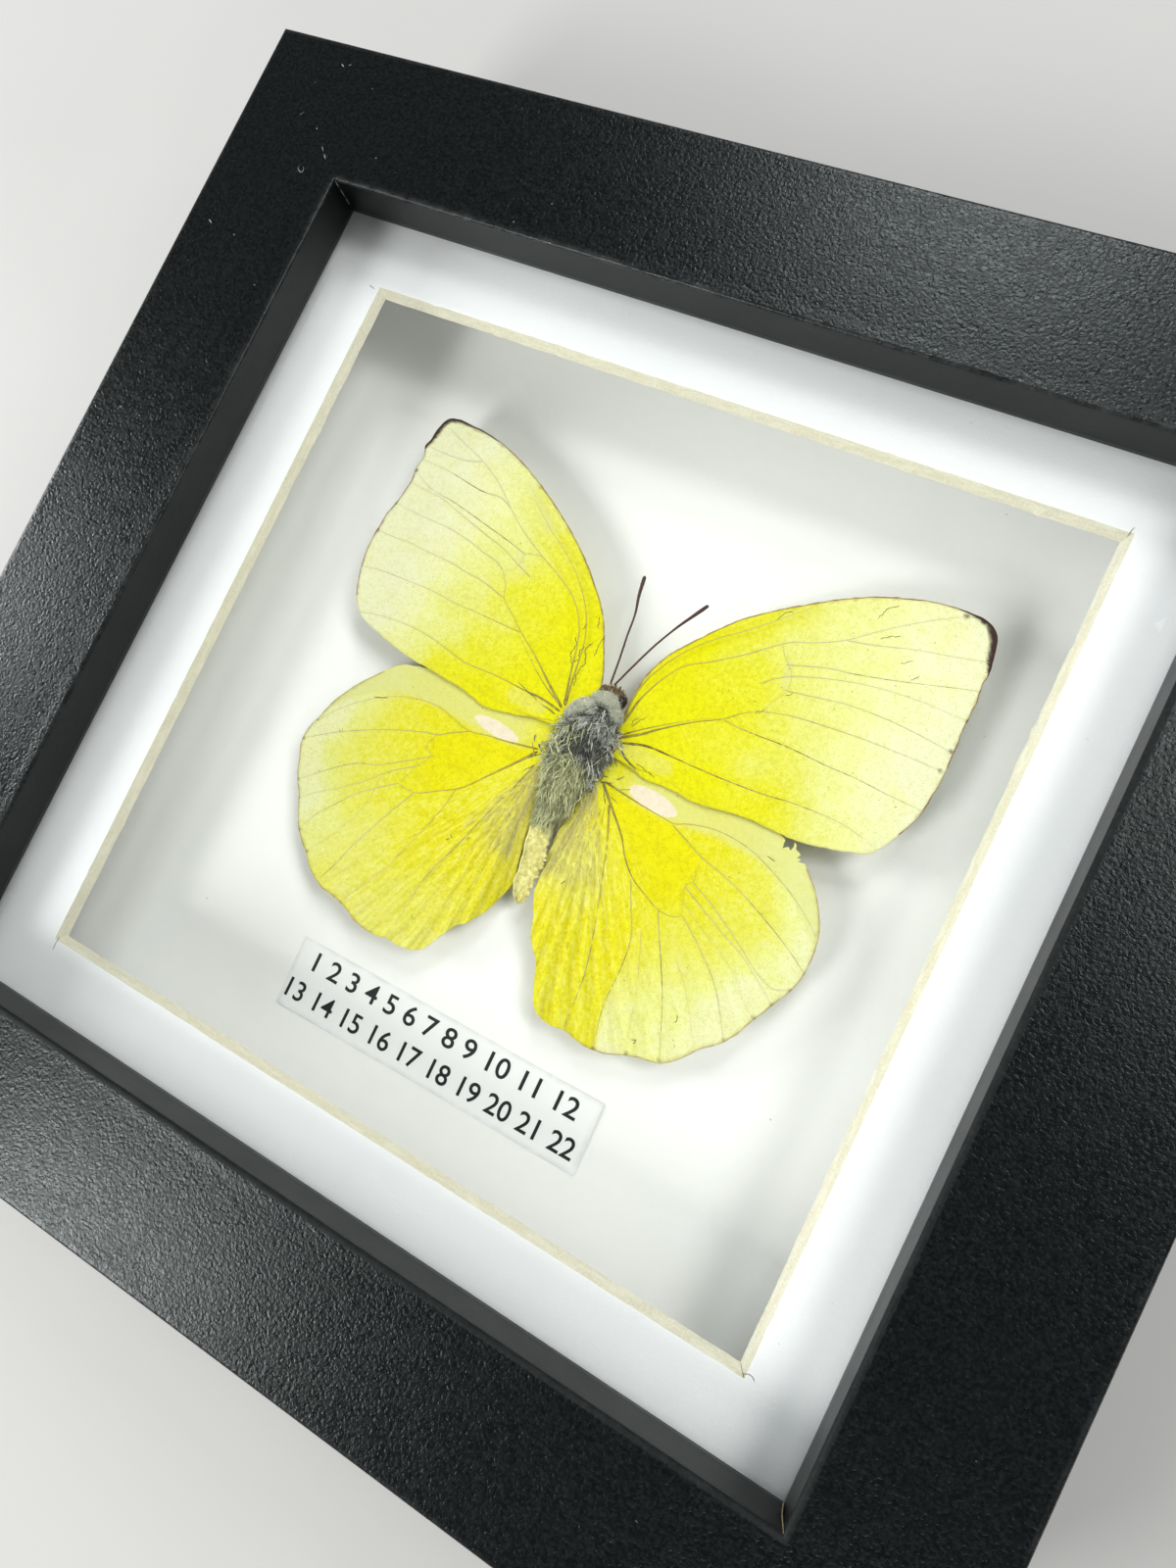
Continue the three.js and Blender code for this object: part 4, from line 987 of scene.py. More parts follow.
def wing_height(w, p):
    """Height of the wing's middle surface at drawn points p."""
    b = BASE[w]
    d = np.hypot(*(p - b).T)
    vd, _ = polyline_distance(p, list(VEINS[w].values()))
    sag = 0.13 * smoothstep(0.0, 2.2, vd) * smoothstep(3, 12, d)
    side = -1 if w[0] == 'L' else 1
    if w[1] == 'F':
        z = 12.74 + 0.006 * d + 0.020 * (p[:, 1] - 9) - 0.10 * np.sin(np.clip(d / 42, 0, 1) * math.pi) * 0.6
        z -= 0.22 * smoothstep(7.0, 3.6, p[:, 1]) * smoothstep(3, 9, d)
        # long soft pleats run out beside the costa
        cost, _ = polyline_distance(p, [VEINS[w]['sc']])
        z += 0.07 * np.cos(cost * 2.6) * np.exp(-cost / 2.2) * smoothstep(44, 20, d)
        z += 0.05 * np.sin(p[:, 0] * 0.31 + 1.3) * np.sin(p[:, 1] * 0.27) * smoothstep(5, 20, d)
        return z - sag
    x = (p[:, 0] - 2.6) * side          # distance out from the body's line
    a = np.abs(angle_from(p, b) + 90.0)
    a = np.minimum(a, 360 - a)          # 0 straight down the body, growing outwards
    inner = smoothstep(52, 8, a) * smoothstep(2, 10, d)
    fold, fine = pleats(a, d)
    z = 12.06 + 0.004 * d + 0.36 * inner * fold + 0.15 * inner * fine
    z += 0.10 * np.sin(np.radians(a) * 9 + 0.7) * smoothstep(8, 24, d)
    z -= 0.012 * np.clip(-p[:, 1] - 8, 0, 30)
    # the inner margin turns down beside the body
    z -= 1.55 * smoothstep(4.4, 0.4, x) * smoothstep(1.0, -6.0, p[:, 1])
    # the front edge slips under the forewing
    z -= 0.02 * smoothstep(-1.0, 5.0, p[:, 1])
    return z - sag * (1 - 0.6 * inner)


TEAR = np.array([(30.5, 3.62), (31.35, 2.95), (31.75, 3.40), (32.35, 2.65), (32.9, 3.1)])


def wing_mesh(w, name, node, slot, material, patches=()):
    r = np.random.default_rng({'LF': 31, 'RF': 32, 'LH': 33, 'RH': 34}[w])
    ring = OUTLINE[w].copy()
    nrm = np.roll(ring, -1, 0) - np.roll(ring, 1, 0)
    nrm = np.c_[nrm[:, 1], -nrm[:, 0]] / np.linalg.norm(nrm, axis=1)[:, None]
    area = 0.5 * np.sum(ring[:, 0] * np.roll(ring[:, 1], -1) - np.roll(ring[:, 0], -1) * ring[:, 1])
    if area < 0:
        nrm = -nrm                       # outward
    jag = np.convolve(r.normal(0, 1, len(ring) + 4), [0.2, 0.6, 1, 0.6, 0.2], 'same')[:len(ring)] * 0.018
    ring = ring + nrm * jag[:, None]
    if w == 'RH':                        # a torn corner on the front edge
        d, _ = polyline_distance(ring, [TEAR])
        k = d < 0.9
        ring[k] -= nrm[k] * (0.75 * smoothstep(0.9, 0.0, d[k]) * r.uniform(0.1, 1.2, k.sum()))[:, None]
    h = 0.34
    lo, hi = ring.min(0), ring.max(0)
    gx = np.arange(lo[0], hi[0], h)
    gy = np.arange(lo[1], hi[1], h * 0.866)
    grid = np.array([(x + (h / 2 if j % 2 else 0), y) for j, y in enumerate(gy) for x in gx])
    grid += r.uniform(-0.06, 0.06, grid.shape)
    grid = grid[inside(grid, ring)]
    dr, _ = polyline_distance(grid, [np.vstack([ring, ring[:1]])])
    grid = grid[dr > 0.42]
    rings = [ring, ring - nrm * 0.10, ring - nrm * 0.24]
    n = len(ring)
    pts = np.vstack(rings + [grid])
    edges = [(i, (i + 1) % n) for i in range(n)]
    vo, eo, fo, ov, oe, of_ = delaunay_2d_cdt([Vector(p) for p in pts], edges, [], 1, 1e-5)
    p = np.array([q[:] for q in vo])
    tri = [tuple(g) for g in fo]
    # boundary of the sheet
    seen = {}
    for g in tri:
        for a, b in zip(g, g[1:] + g[:1]):
            seen[(a, b)] = 1
    border = [(a, b) for (a, b) in seen if (b, a) not in seen]
    z0 = PLANE[w]
    z = wing_height(w, p)
    x, y = along_ray(p[:, 0], p[:, 1], z0, z)
    rimd, _ = polyline_distance(p, [np.vstack([OUTLINE[w], OUTLINE[w][:1]])])
    t = 0.040 + 0.035 * smoothstep(0.0, 0.5, rimd)
    m0 = len(p)
    v = np.vstack([np.c_[x, y, z + t / 2], np.c_[x, y, z - t / 2]])
    f = tri + [tuple(i + m0 for i in g[::-1]) for g in tri] + [(b, a, a + m0, b + m0) for a, b in border]
    A = wing_attributes(w, p, rimd)
    A = {k: np.r_[q, q] for k, q in A.items()}
    ob = make(name, v, f, attrs=A, mats=(material,), slot=slot, replaces=[node])
    return ob


def wing_attributes(w, p, rimd):
    b = BASE[w]
    d = np.hypot(*(p - b).T)
    x, y = p.T
    vd, _ = polyline_distance(p, list(VEINS[w].values()))
    side = -1 if w[0] == 'L' else 1
    X = (x - 2.4) * side                # outwards on both sides
    A = {'rib': np.clip(vd / 2.5, 0, 1)}
    zero = np.zeros(len(p))
    V = VEINS[w]
    ends = [q[-1] for q in V.values() if np.min(np.hypot(*(OUTLINE[w] - q[-1]).T)) < 1.6]
    dots = np.min([np.hypot(*(p - e).T) for e in ends], 0)
    if w[1] == 'F':
        cell = inside(p, np.vstack([V['r'][:int(len(V['r']) * 0.42)], V['dc'], V['cu'][::-1]])).astype(float)
        pale = (0.16 if w == 'LF' else 0.10) * smoothstep(5, 12, d) + 0.88 * smoothstep(7, 32, d) * (0.66 + 0.34 * smoothstep(20, 37, X))
        pale += 0.14 * smoothstep(36, 40.5, X)
        pale -= 0.10 * cell * smoothstep(24, 14, d)
        ocost, _ = polyline_distance(p, [V['sc']])
        # costa and trailing edge keep more of the lemon colour
        trail = smoothstep(11.5, 5.0, y) * smoothstep(37, 20, X)
        pale -= 0.25 * trail
        costal = smoothstep(3.4, 0.8, ocost) * smoothstep(40, 24, d)
        pale -= 0.16 * costal
        pale -= 0.10 * smoothstep(3.0, 0.5, rimd) * smoothstep(36, 20, d) * (y > 12)
        if w == 'RF':
            pale = pale * 0.96 + smoothstep(17, 9, y) * (0.07 * smoothstep(12, 18, X) * smoothstep(24, 19, X) - 0.09 * smoothstep(19, 25, X))
        A['pale'] = np.clip(pale, 0, 1)
        A['thin'] = zero
        # faded patches at the end of the cell and beside the body
        base_patch = smoothstep(1.4, 0.6, polyline_distance(p, [np.array([(-5.2, 6.3), (-9.0, 6.4)]) if w == 'LF' else np.array([(8.2, 6.0), (13.0, 5.9)])])[0])
        A['tan'] = 0.30 * base_patch * smoothstep(1, 3, d)
        cellend = polyline_distance(p, [np.array([(-15.8, 22.0), (-17.2, 23.9)]) if w == 'LF' else np.array([(22.0, 21.2), (21.4, 24.2)])])[0]
        A['thin'] = 0.75 * smoothstep(0.75, 0.25, cellend) + 0.35 * base_patch
        if w == 'LF':
            A['thin'] = np.maximum(A['thin'], 0.6 * smoothstep(1.0, 0.3, polyline_distance(p, [np.array([(-14.9, 28.8), (-17.5, 31.4), (-20.4, 33.2)])])[0]))
        s = polyline_distance(p, [np.array([(-37.1, 33.0), (-36.8, 34.4), (-36.4, 36.9), (-35.6, 38.2), (-33.4, 38.5), (-30.6, 38.3), (-27.5, 37.6)]) if w == 'LF'
                                  else np.array([(36.5, 38.0), (38.6, 38.0), (40.6, 37.5), (42.0, 35.9), (42.5, 33.8), (42.8, 31.6)])])
        along = s[1]
        width = np.interp(along, [0, 0.25, 0.5, 0.8, 1], [0.40, 0.86, 0.82, 0.55, 0.22]) if w == 'LF' else np.interp(along, [0, 0.3, 0.6, 0.85, 1], [0.18, 0.66, 1.10, 1.00, 0.25])
        A['apex'] = smoothstep(1.0, 0.55, s[0] / width) * (s[0] < 1.2)
        A['apex'] = np.maximum(A['apex'], 0.85 * smoothstep(0.38, 0.12, dots) * (X > 30) * (y > 17))
        edge_w = 0.13 if w == 'LF' else 0.12
        A['rim'] = smoothstep(edge_w + 0.14, edge_w, rimd) * np.where((y > 10), 1.0, 0.25)
        # painted shade in the troughs of the soft pleats beside the costa
        ridges = 0.5 - 0.5 * np.cos(ocost * 5.2)
        A['fold_shade'] = 0.55 * ridges ** 3 * smoothstep(2.6, 0.6, ocost) * smoothstep(40, 22, d)
        return A
    cell = inside(p, np.vstack([V['sc'][:int(len(V['sc']) * 0.32)], V['rs'][:int(len(V['rs']) * 0.22)], V['dc'], V['cu'][::-1]])).astype(float)
    a = np.abs(angle_from(p, b) + 90.0)
    a = np.minimum(a, 360 - a)
    pale = 0.24 + 0.48 * smoothstep(14, 33, d) + (0.17 if w == 'LH' else 0.42) * smoothstep(40, 20, a) * smoothstep(3, 12, d)
    pale -= 0.24 * cell * smoothstep(20, 12, d) + 0.06 * cell
    band = smoothstep(7.5, 0.6, rimd)
    pale += 0.34 * band * smoothstep(38, 62, a) * smoothstep(16, 26, d)
    pale -= 0.22 * smoothstep(42, 28, a) * smoothstep(8, 16, d)
    strip = smoothstep(-0.6, 0.5, y - np.interp(X, [5, 13, 16, 20, 26, 30, 33, 36], [0.8, 0.2, 0.4, 0.9, 0.6, -1.2, -3.4, -6.6]))
    A['thin'] = strip * smoothstep(5.5, 10, X) * 0.9
    pale = pale * (1 - 0.3 * strip) + 0.18 * strip
    # the inner field of the right hindwing stays yellow as far as its margin, the outer one pales from vein cu2 on
    if w == 'RH':
        cd = np.hypot(*(V['cu2'] - b).T)
        ca = np.abs(angle_from(V['cu2'], b) + 90.0)
        o = np.argsort(cd)
        gap = a - np.interp(d, cd[o], ca[o])
        anal = smoothstep(1.2, -1.2, gap) * smoothstep(14, 19, d)
        pale = pale * (1 - 0.65 * anal) + 0.20 * (1 - anal) * smoothstep(19, 29, d) * smoothstep(70, 50, a)
    A['pale'] = np.clip(pale, 0, 1)
    A['fan'] = a
    A['reach'] = d
    A['comb'] = smoothstep(62, 34, a) * smoothstep(1.5, 7, d) * (0.55 + 0.45 * smoothstep(26, 12, d))
    # the second term browns the inner margin next to the abdomen: painted shade in the gap between wing and body
    A['tan'] = np.clip(0.70 * smoothstep(25, 4, a) * smoothstep(19, 6, d) + 0.45 * smoothstep(4.2, 1.2, X) * (y < 0) * smoothstep(-18, -10, y), 0, 0.85) * smoothstep(1.5, -3.5, y)
    fold, fine = pleats(a, d)
    inner = smoothstep(52, 12, a) * smoothstep(3, 9, d)
    # painted shade in the troughs of the pleats by the body
    A['fold_shade'] = inner * np.clip(0.55 * smoothstep(-0.1, -0.5, fold) + 0.75 * smoothstep(0.0, -0.5, fine), 0, 1)
    A['apex'] = 0.55 * smoothstep(0.30, 0.10, dots) * (rimd < 0.6) * (a > 20)
    outer = smoothstep(14, 24, a)
    A['rim'] = 0.75 * smoothstep(0.30, 0.12, rimd) * outer * (y < 2)
    return A


M_HIND_L = wing_material("wing_hind_left", True, [(-9.45, 1.45, 3.50, 0.98, math.radians(-5))])
M_HIND_R = wing_material("wing_hind_right", True, [(13.40, 1.55, 3.42, 1.25, math.radians(-6))])
wing_mesh('LH', "wing_hind_left", "hindwing_left", "hindwing", M_HIND_L)
wing_mesh('RH', "wing_hind_right", "hindwing_right", "hindwing", M_HIND_R)
wing_mesh('LF', "wing_fore_left", "forewing_left", "forewing", M_FORE_L)
wing_mesh('RF', "wing_fore_right", "forewing_right", "forewing", M_FORE_L)

# dark stretches along the veins: (vein, from, to, how dark)
DARK = {'LF': [('m0', .25, .72, .9), ('m1', .12, .7, .9), ('m2', .3, .55, .35), ('cu', 0, .3, .45), ('an', 0, .22, .6), ('cu2', .75, 1, .5), ('cu1', .8, 1, .4)],
        'RF': [('cu', 0, .95, .55), ('cu2', .12, .95, .9), ('an', 0, .3, .9), ('an', .3, .8, .8), ('m1', .3, 1, .7), ('m3', .5, 1, .5), ('cu1', .25, 1, .4), ('r5', .6, 1, .4), ('an2', 0, .3, .5)],
        'LH': [('cu2', .82, 1, .8), ('m1', .45, .95, .7), ('m3', .5, .95, .65), ('cu1', .6, 1, .7), ('cu', .2, 1, .3), ('rs', .6, .95, .35), ('cu1b', .7, 1, .5)],
        'RH': [('cu1', .2, 1, .8), ('cu2', .35, 1, .65), ('rs', .55, 1, .7), ('cu', 0, 1, .55), ('an', .55, 1, .55), ('m3', .4, 1, .4), ('sc', .5, 1, .45), ('m1', .5, 1, .35), ('cu2b', .6, 1, .4)]}
WIDTH = {'cu': .115, 'r': .095, 'sc': .085, 'an': .10, 'rs': .09, 'cub': .07, 'dc': .055}


def veins(w, name, slot):
    J = Join()
    r = np.random.default_rng({'LF': 41, 'RF': 42, 'LH': 43, 'RH': 44}[w])
    ring = OUTLINE[w]
    for k, line in VEINS[w].items():
        q = line.copy()
        keep = inside(q, ring)
        d, _ = polyline_distance(q, [np.vstack([ring, ring[:1]])])
        keep &= d > 0.05
        if keep.sum() < 4:
            continue
        q = q[np.argmax(keep):len(keep) - np.argmax(keep[::-1])]
        t = np.linspace(0, 1, len(q))
        thin_in = 0.5 if k in ('an1', 'an2', 'an3', 'cu1b', 'cu2b', 'm2b', 'm3b') else 1.0
        rad = np.interp(t, [0, .15, 1], [1.15, 1, .42]) * WIDTH.get(k, .075) * thin_in * (1 + 0.08 * r.normal(0, 1, len(q)))
        rad[0] *= 0.5
        rad[-1] *= 0.4
        z = wing_height(w, q) + 0.028
        x, y = along_ray(q[:, 0], q[:, 1], PLANE[w], z)
        dark = np.zeros(len(q))
        for (kk, a, b_, val) in DARK[w]:
            if kk == k:
                dark = np.maximum(dark, val * smoothstep(a - .03, a + .05, t) * smoothstep(b_ + .03, b_ - .05, t))
        # browner and stouter where the main veins gather at the root
        root = smoothstep(9.5, 2.5, np.hypot(*(q - BASE[w]).T)) * (1.0 if k in ('cu', 'r', 'an', 'sc', 'rs', 'm1', 'cub') else 0.4)
        dark = np.maximum(dark, 0.70 * root * (0.7 + 0.3 * np.sin(np.arange(len(q)) * 0.9)))
        rad = rad * (1 + 0.55 * root)
        v, f = tube(np.c_[x, y, z], rad, 6, flat=0.55)
        far = np.hypot(*(q - BASE[w]).T) / 38.0
        J.add(v, f, 0, t=np.repeat(np.clip(far, 0, 1), 6), dark=np.repeat(dark, 6))
    return J.make(name, mats=(M_VEIN,), slot=slot)


veins('LF', "veins_fore_left", "forewing")
veins('RF', "veins_fore_right", "forewing")
veins('LH', "veins_hind_left", "hindwing")
veins('RH', "veins_hind_right", "hindwing")


def flecks():
    """Fine cracks, scratches and specks that lie in the scales."""
    J = Join()
    r = np.random.default_rng(9)

    def stroke(w, pts, width=0.07, wob=0.07):
        q = resample(np.array(pts, float), 0.22)
        q[1:-1] += r.normal(0, wob, (len(q) - 2, 2))
        z = wing_height(w, q) + 0.045
        x, y = along_ray(q[:, 0], q[:, 1], PLANE[w], z)
        rad = width * r.uniform(0.6, 1.1, len(q))
        rad[0] = rad[-1] = width * 0.3
        v, f = tube(np.c_[x, y, z], rad, 5, flat=0.5)
        J.add(v, f)

    for p in CRACKS_LF:
        stroke('LF', p, 0.06)
    for p in CRACKS_RF:
        stroke('RF', p, 0.05)
    for p in CRACKS_LH:
        stroke('LH', p, 0.06, 0.03)
    for p in CRACKS_RH:
        stroke('RH', p, 0.06, 0.03)
    for w, n in (('LF', 30), ('RF', 45), ('LH', 40), ('RH', 30)):
        ring = OUTLINE[w]
        lo, hi = ring.min(0), ring.max(0)
        k = 0
        while k < n:
            c = r.uniform(lo, hi)
            if inside(c[None], ring)[0] and polyline_distance(c[None], [np.vstack([ring, ring[:1]])])[0][0] > 1:
                a = r.uniform(0, math.pi)
                l_ = abs(r.normal(0.05, 0.12)) + 0.05
                stroke(w, [c, c + l_ * np.array([math.cos(a), math.sin(a)])], 0.045, 0.0)
                k += 1
    return J.make("wing_flecks", mats=(M_CRACK,), slot="forewing")


CRACKS_LF = [[(-2.2, 10.6), (-2.6, 12.4), (-2.2, 14.2), (-3.0, 15.6), (-2.5, 16.9)], [(-3.9, 13.2), (-3.3, 14.1), (-3.7, 15.2), (-3.1, 15.9)],
             [(-3.9, 13.2), (-4.6, 14.4), (-4.3, 15.7), (-5.0, 16.6)], [(-1.5, 15.2), (-1.7, 17.0), (-1.4, 18.3)], [(-4.6, 17.9), (-4.2, 18.8)],
             [(-2.6, 8.9), (-2.4, 10.0), (-3.1, 10.7)], [(-5.9, 6.9), (-8.0, 7.7), (-9.2, 8.2)], [(-2.6, 18.8), (-3.3, 20.2)]]
CRACKS_RF = [[(17.6, 28.4), (18.2, 29.8), (19.0, 30.2)], [(28.6, 33.2), (29.0, 34.8), (30.2, 35.6)], [(22.6, 20.1), (23.4, 21.0)], [(29.8, 31.0), (31.0, 31.8), (31.9, 32.3)],
             [(20.1, 16.6), (21.0, 17.6)], [(35.1, 27.6), (35.7, 28.6)], [(33.2, 29.1), (34.4, 29.9)], [(6.6, 9.0), (7.3, 10.4)], [(6.9, 8.8), (8.0, 10.7)], [(9.6, 4.9), (12.4, 4.2)]]
CRACKS_LH = [[(-9.0, -14.6), (-8.3, -14.1), (-8.8, -13.7)], [(-3.7, -2.2), (-3.0, -1.2), (-2.3, -0.4)], [(-4.3, 1.9), (-3.5, 0.9), (-2.9, 0.3)], [(-2.4, 2.9), (-3.3, 1.6)],
             [(-1.9, -12.9), (-1.7, -12.4)], [(-25.5, -1.1), (-27.4, -1.8)]]
CRACKS_RH = [[(27.3, -20.6), (27.6, -21.3), (27.3, -21.6)], [(23.6, -25.9), (24.3, -25.6), (24.1, -26.2)], [(28.8, 1.4), (29.9, 1.2)], [(8.1, -1.4), (7.4, -0.4), (7.0, 0.6)],
             [(8.6, 0.8), (10.2, 1.7)], [(9.4, -0.6), (8.2, -0.2)], [(7.4, -13.0), (7.8, -12.3)]]
flecks()

# ---- body -------------------------------------------------------------------------------------------------------------
def body_material(name, dark, light, mm=0.5):
    k = Mat(name, Specular_IOR_Level=0.35)
    n = k.noise(mm, 4, 0.65, 0.6)
    fine = k.noise(0.13, 3, 0.6)
    c = k.mix(k.range(n, 0.3, 0.7), dark, light)
    c = k.mix(k.math('MULTIPLY', k.attr('crease'), 0.6), c, k.mix(1.0, c, (0.42, 0.36, 0.22), 'MULTIPLY'))
    h = k.math('ADD', n, k.math('MULTIPLY', fine, 0.5))
    k.set(Base_Color=c, Roughness=k.range(fine, 0.3, 0.7, 0.5, 0.75), Normal=k.bump(h, 0.05, 1.0))
    return k.m


def trunk_material():
    """Dark skin under the thorax hair, olive under the wool, then the parchment of the dried abdomen, with painted
    shade in its grooves and a painted highlight along its raised rim.
    """
    k = Mat("trunk_skin", Specular_IOR_Level=0.3)
    n = k.noise(0.7, 4, 0.65, 0.6)
    fine = k.noise(0.16, 3, 0.6)
    z = k.math('ADD', k.attr('zone'), k.range(n, 0.25, 0.75, -0.10, 0.10))
    dark = k.mix(k.range(n, 0.3, 0.7), (0.018, 0.020, 0.014), (0.075, 0.080, 0.050))
    olive = k.mix(k.range(n, 0.3, 0.7), (0.13, 0.125, 0.045), (0.30, 0.29, 0.12))
    skin = k.mix(k.range(n, 0.34, 0.66), (0.45, 0.40, 0.095), (0.77, 0.73, 0.31))
    # painted shade: the abdomen's grooves are darkened in the skin colour
    skin = k.mix(k.math('MULTIPLY', k.attr('crease'), k.range(fine, 0.3, 0.7, 0.5, 0.9)), skin, (0.30, 0.22, 0.05))
    # painted highlight: the raised left rim of the abdomen is lightened
    skin = k.mix(k.math('MULTIPLY', k.attr('ridge'), k.range(k.noise(1.1, 3, 0.6, 0, k.mapping(k.co, loc=(3, 3, 1))), 0.35, 0.6, 0.45, 1.0)), skin, (0.92, 0.84, 0.46))
    c = k.mix(k.range(z, 0.30, 0.55), dark, olive)
    c = k.mix(k.range(z, 0.66, 0.88), c, skin)
    h = k.math('ADD', n, k.math('MULTIPLY', fine, 0.5))
    k.set(Base_Color=c, Roughness=k.range(fine, 0.3, 0.7, 0.5, 0.75), Normal=k.bump(h, 0.06, 1.0))
    return k.m


M_TRUNK = trunk_material()
M_HEAD = body_material("head_skin", (0.070, 0.036, 0.020), (0.22, 0.13, 0.060), 0.3)
M_ANTENNA = body_material("antenna_skin", (0.045, 0.018, 0.016), (0.105, 0.044, 0.036), 0.25)


def eye_material():
    k = Mat("eye", Specular_IOR_Level=0.45, Coat_Weight=0.12, Coat_Roughness=0.2)
    facets = k.voronoi(0.07, 'F1')
    n = k.noise(0.5, 3, 0.6)
    k.set(Base_Color=k.mix(k.range(n, 0.4, 0.75), (0.006, 0.004, 0.004), (0.045, 0.020, 0.012)), Roughness=k.range(n, 0.3, 0.7, 0.18, 0.34),
          Normal=k.bump(facets, 0.012, 1.0))
    return k.m


M_EYE = eye_material()


def dab_material():
    k = Mat("glue", Specular_IOR_Level=0.5)
    n = k.noise(0.6, 3, 0.6)
    k.set(Base_Color=k.mix(k.range(n, 0.3, 0.7), (0.55, 0.52, 0.42), (0.68, 0.66, 0.57)), Roughness=k.range(n, 0.3, 0.7, 0.25, 0.4), Normal=k.bump(n, 0.06, 1.0))
    return k.m


M_DAB = dab_material()
# stations of the thorax and abdomen: centre x, y, z, half width, height above, depth below
TRUNK = np.array([
    (2.75, 10.9, 11.9, 0.30, 0.25, 0.25), (2.70, 10.5, 11.9, 1.40, 1.00, 0.9), (2.60, 9.8, 11.8, 2.30, 1.60, 1.6), (2.50, 8.8, 11.7, 3.05, 2.05, 2.1),
    (2.45, 7.4, 11.6, 3.50, 2.40, 2.6), (2.40, 5.8, 11.6, 3.70, 2.50, 2.95), (2.30, 4.2, 11.6, 3.55, 2.45, 3.1), (2.20, 2.6, 11.6, 3.25, 2.30, 3.0),
    (2.12, 1.0, 11.6, 2.90, 2.05, 2.6), (2.05, -0.6, 11.6, 2.55, 1.75, 2.1), (1.95, -2.2, 11.6, 2.20, 1.45, 1.6), (1.85, -3.8, 11.6, 1.92, 1.20, 1.3),
    (1.75, -5.4, 11.6, 1.72, 1.00, 1.1), (1.75, -7.0, 11.55, 1.60, 0.85, 1.0), (1.95, -8.8, 11.5, 1.50, 0.74, 0.9), (2.35, -10.6, 11.45, 1.58, 0.68, 0.85),
    (2.62, -12.2, 11.35, 1.48, 0.62, 0.8), (2.72, -13.8, 11.3, 1.32, 0.58, 0.75), (2.80, -15.3, 11.2, 1.27, 0.52, 0.7), (3.02, -16.5, 11.1, 1.06, 0.45, 0.6),
    (3.20, -17.3, 11.05, 0.64, 0.32, 0.4), (3.28, -17.75, 11.0, 0.20, 0.14, 0.15)])


def trunk_at(s):
    """Station values at s from 0 (neck) to 1 (tail)."""
    k = s * (len(TRUNK) - 1)
    i = np.clip(k.astype(int), 0, len(TRUNK) - 2)
    f = (k - i)[:, None]
    p0, p1, p2, p3 = (TRUNK[np.clip(i + o, 0, len(TRUNK) - 1)] for o in (-1, 0, 1, 2))
    return 0.5 * (2 * p1 + (p2 - p0) * f + (2 * p0 - 5 * p1 + 4 * p2 - p3) * f ** 2 + (-p0 + 3 * p1 - 3 * p2 + p3) * f ** 3)


def trunk_point(s, a):
    """Surface point of the trunk; a is 0 at its right side and 90 on top. Flattened and hollowed along the abdomen."""
    q = trunk_at(s)
    ca, sa = np.cos(np.radians(a)), np.sin(np.radians(a))
    ab = smoothstep(0.60, 0.72, s)
    rv = np.where(sa >= 0, q[:, 4], q[:, 5])
    # the dried abdomen has a raised rim and a sunken, creased back
    deg = np.degrees(np.arctan2(sa, ca))
    sunk = ab * 0.50 * np.clip(sa, 0, 1) ** 1.5 * q[:, 4]
    rag = ab * np.clip(ca, 0, 1) * (0.17 * np.sin(s * 150 + 1) + 0.10 * np.sin(s * 291)) * smoothstep(0.97, 0.9, s)
    x = q[:, 0] + (q[:, 3] + rag + 0.05 * ab * np.sin(s * 83) * np.clip(-ca, 0, 1)) * ca
    z = q[:, 2] + rv * sa - sunk
    z += ab * 0.34 * np.exp(-((deg - 152) / 13) ** 2) + ab * 0.13 * np.exp(-((deg - 28) / 12) ** 2) * (0.6 + 0.4 * np.sin(s * 140))
    z += ab * np.clip(sa + 0.1, 0, 1) * (0.045 * np.sin(s * 97 + deg * 0.05) + 0.045 * np.sin(s * 61 - deg * 0.09 + 1.3) + 0.03 * np.sin(s * 231 + deg * 0.02)
                                         + 0.04 * np.sin(deg * 0.17 + 4 * np.sin(s * 40)))
    seg = (1 - ab) * 0.03 * np.sin(s * 60 + 3 * sa)
    return np.c_[x + seg * ca, q[:, 1], z + seg * sa]


def sphere(c, r, nu=28, nv=20, rot=None):
    v, f = [], []
    for j in range(nv + 1):
        th = math.pi * j / nv
        for i in range(nu if 0 < j < nv else 1):
            ph = 2 * math.pi * i / nu
            v.append((math.sin(th) * math.cos(ph), math.sin(th) * math.sin(ph), math.cos(th)))
    v = np.array(v) * np.array(r)
    if rot is not None:
        v = v @ np.array(rot).T
    v += np.array(c)
    idx = lambda j, i: 0 if j == 0 else (1 + (nv - 1) * nu if j == nv else 1 + (j - 1) * nu + i % nu)
    for j in range(nv):
        for i in range(nu):
            g = (idx(j, i), idx(j + 1, i), idx(j + 1, i + 1), idx(j, i + 1))
            g = tuple(dict.fromkeys(g))
            if len(g) > 2:
                f.append(g)
    return v, f


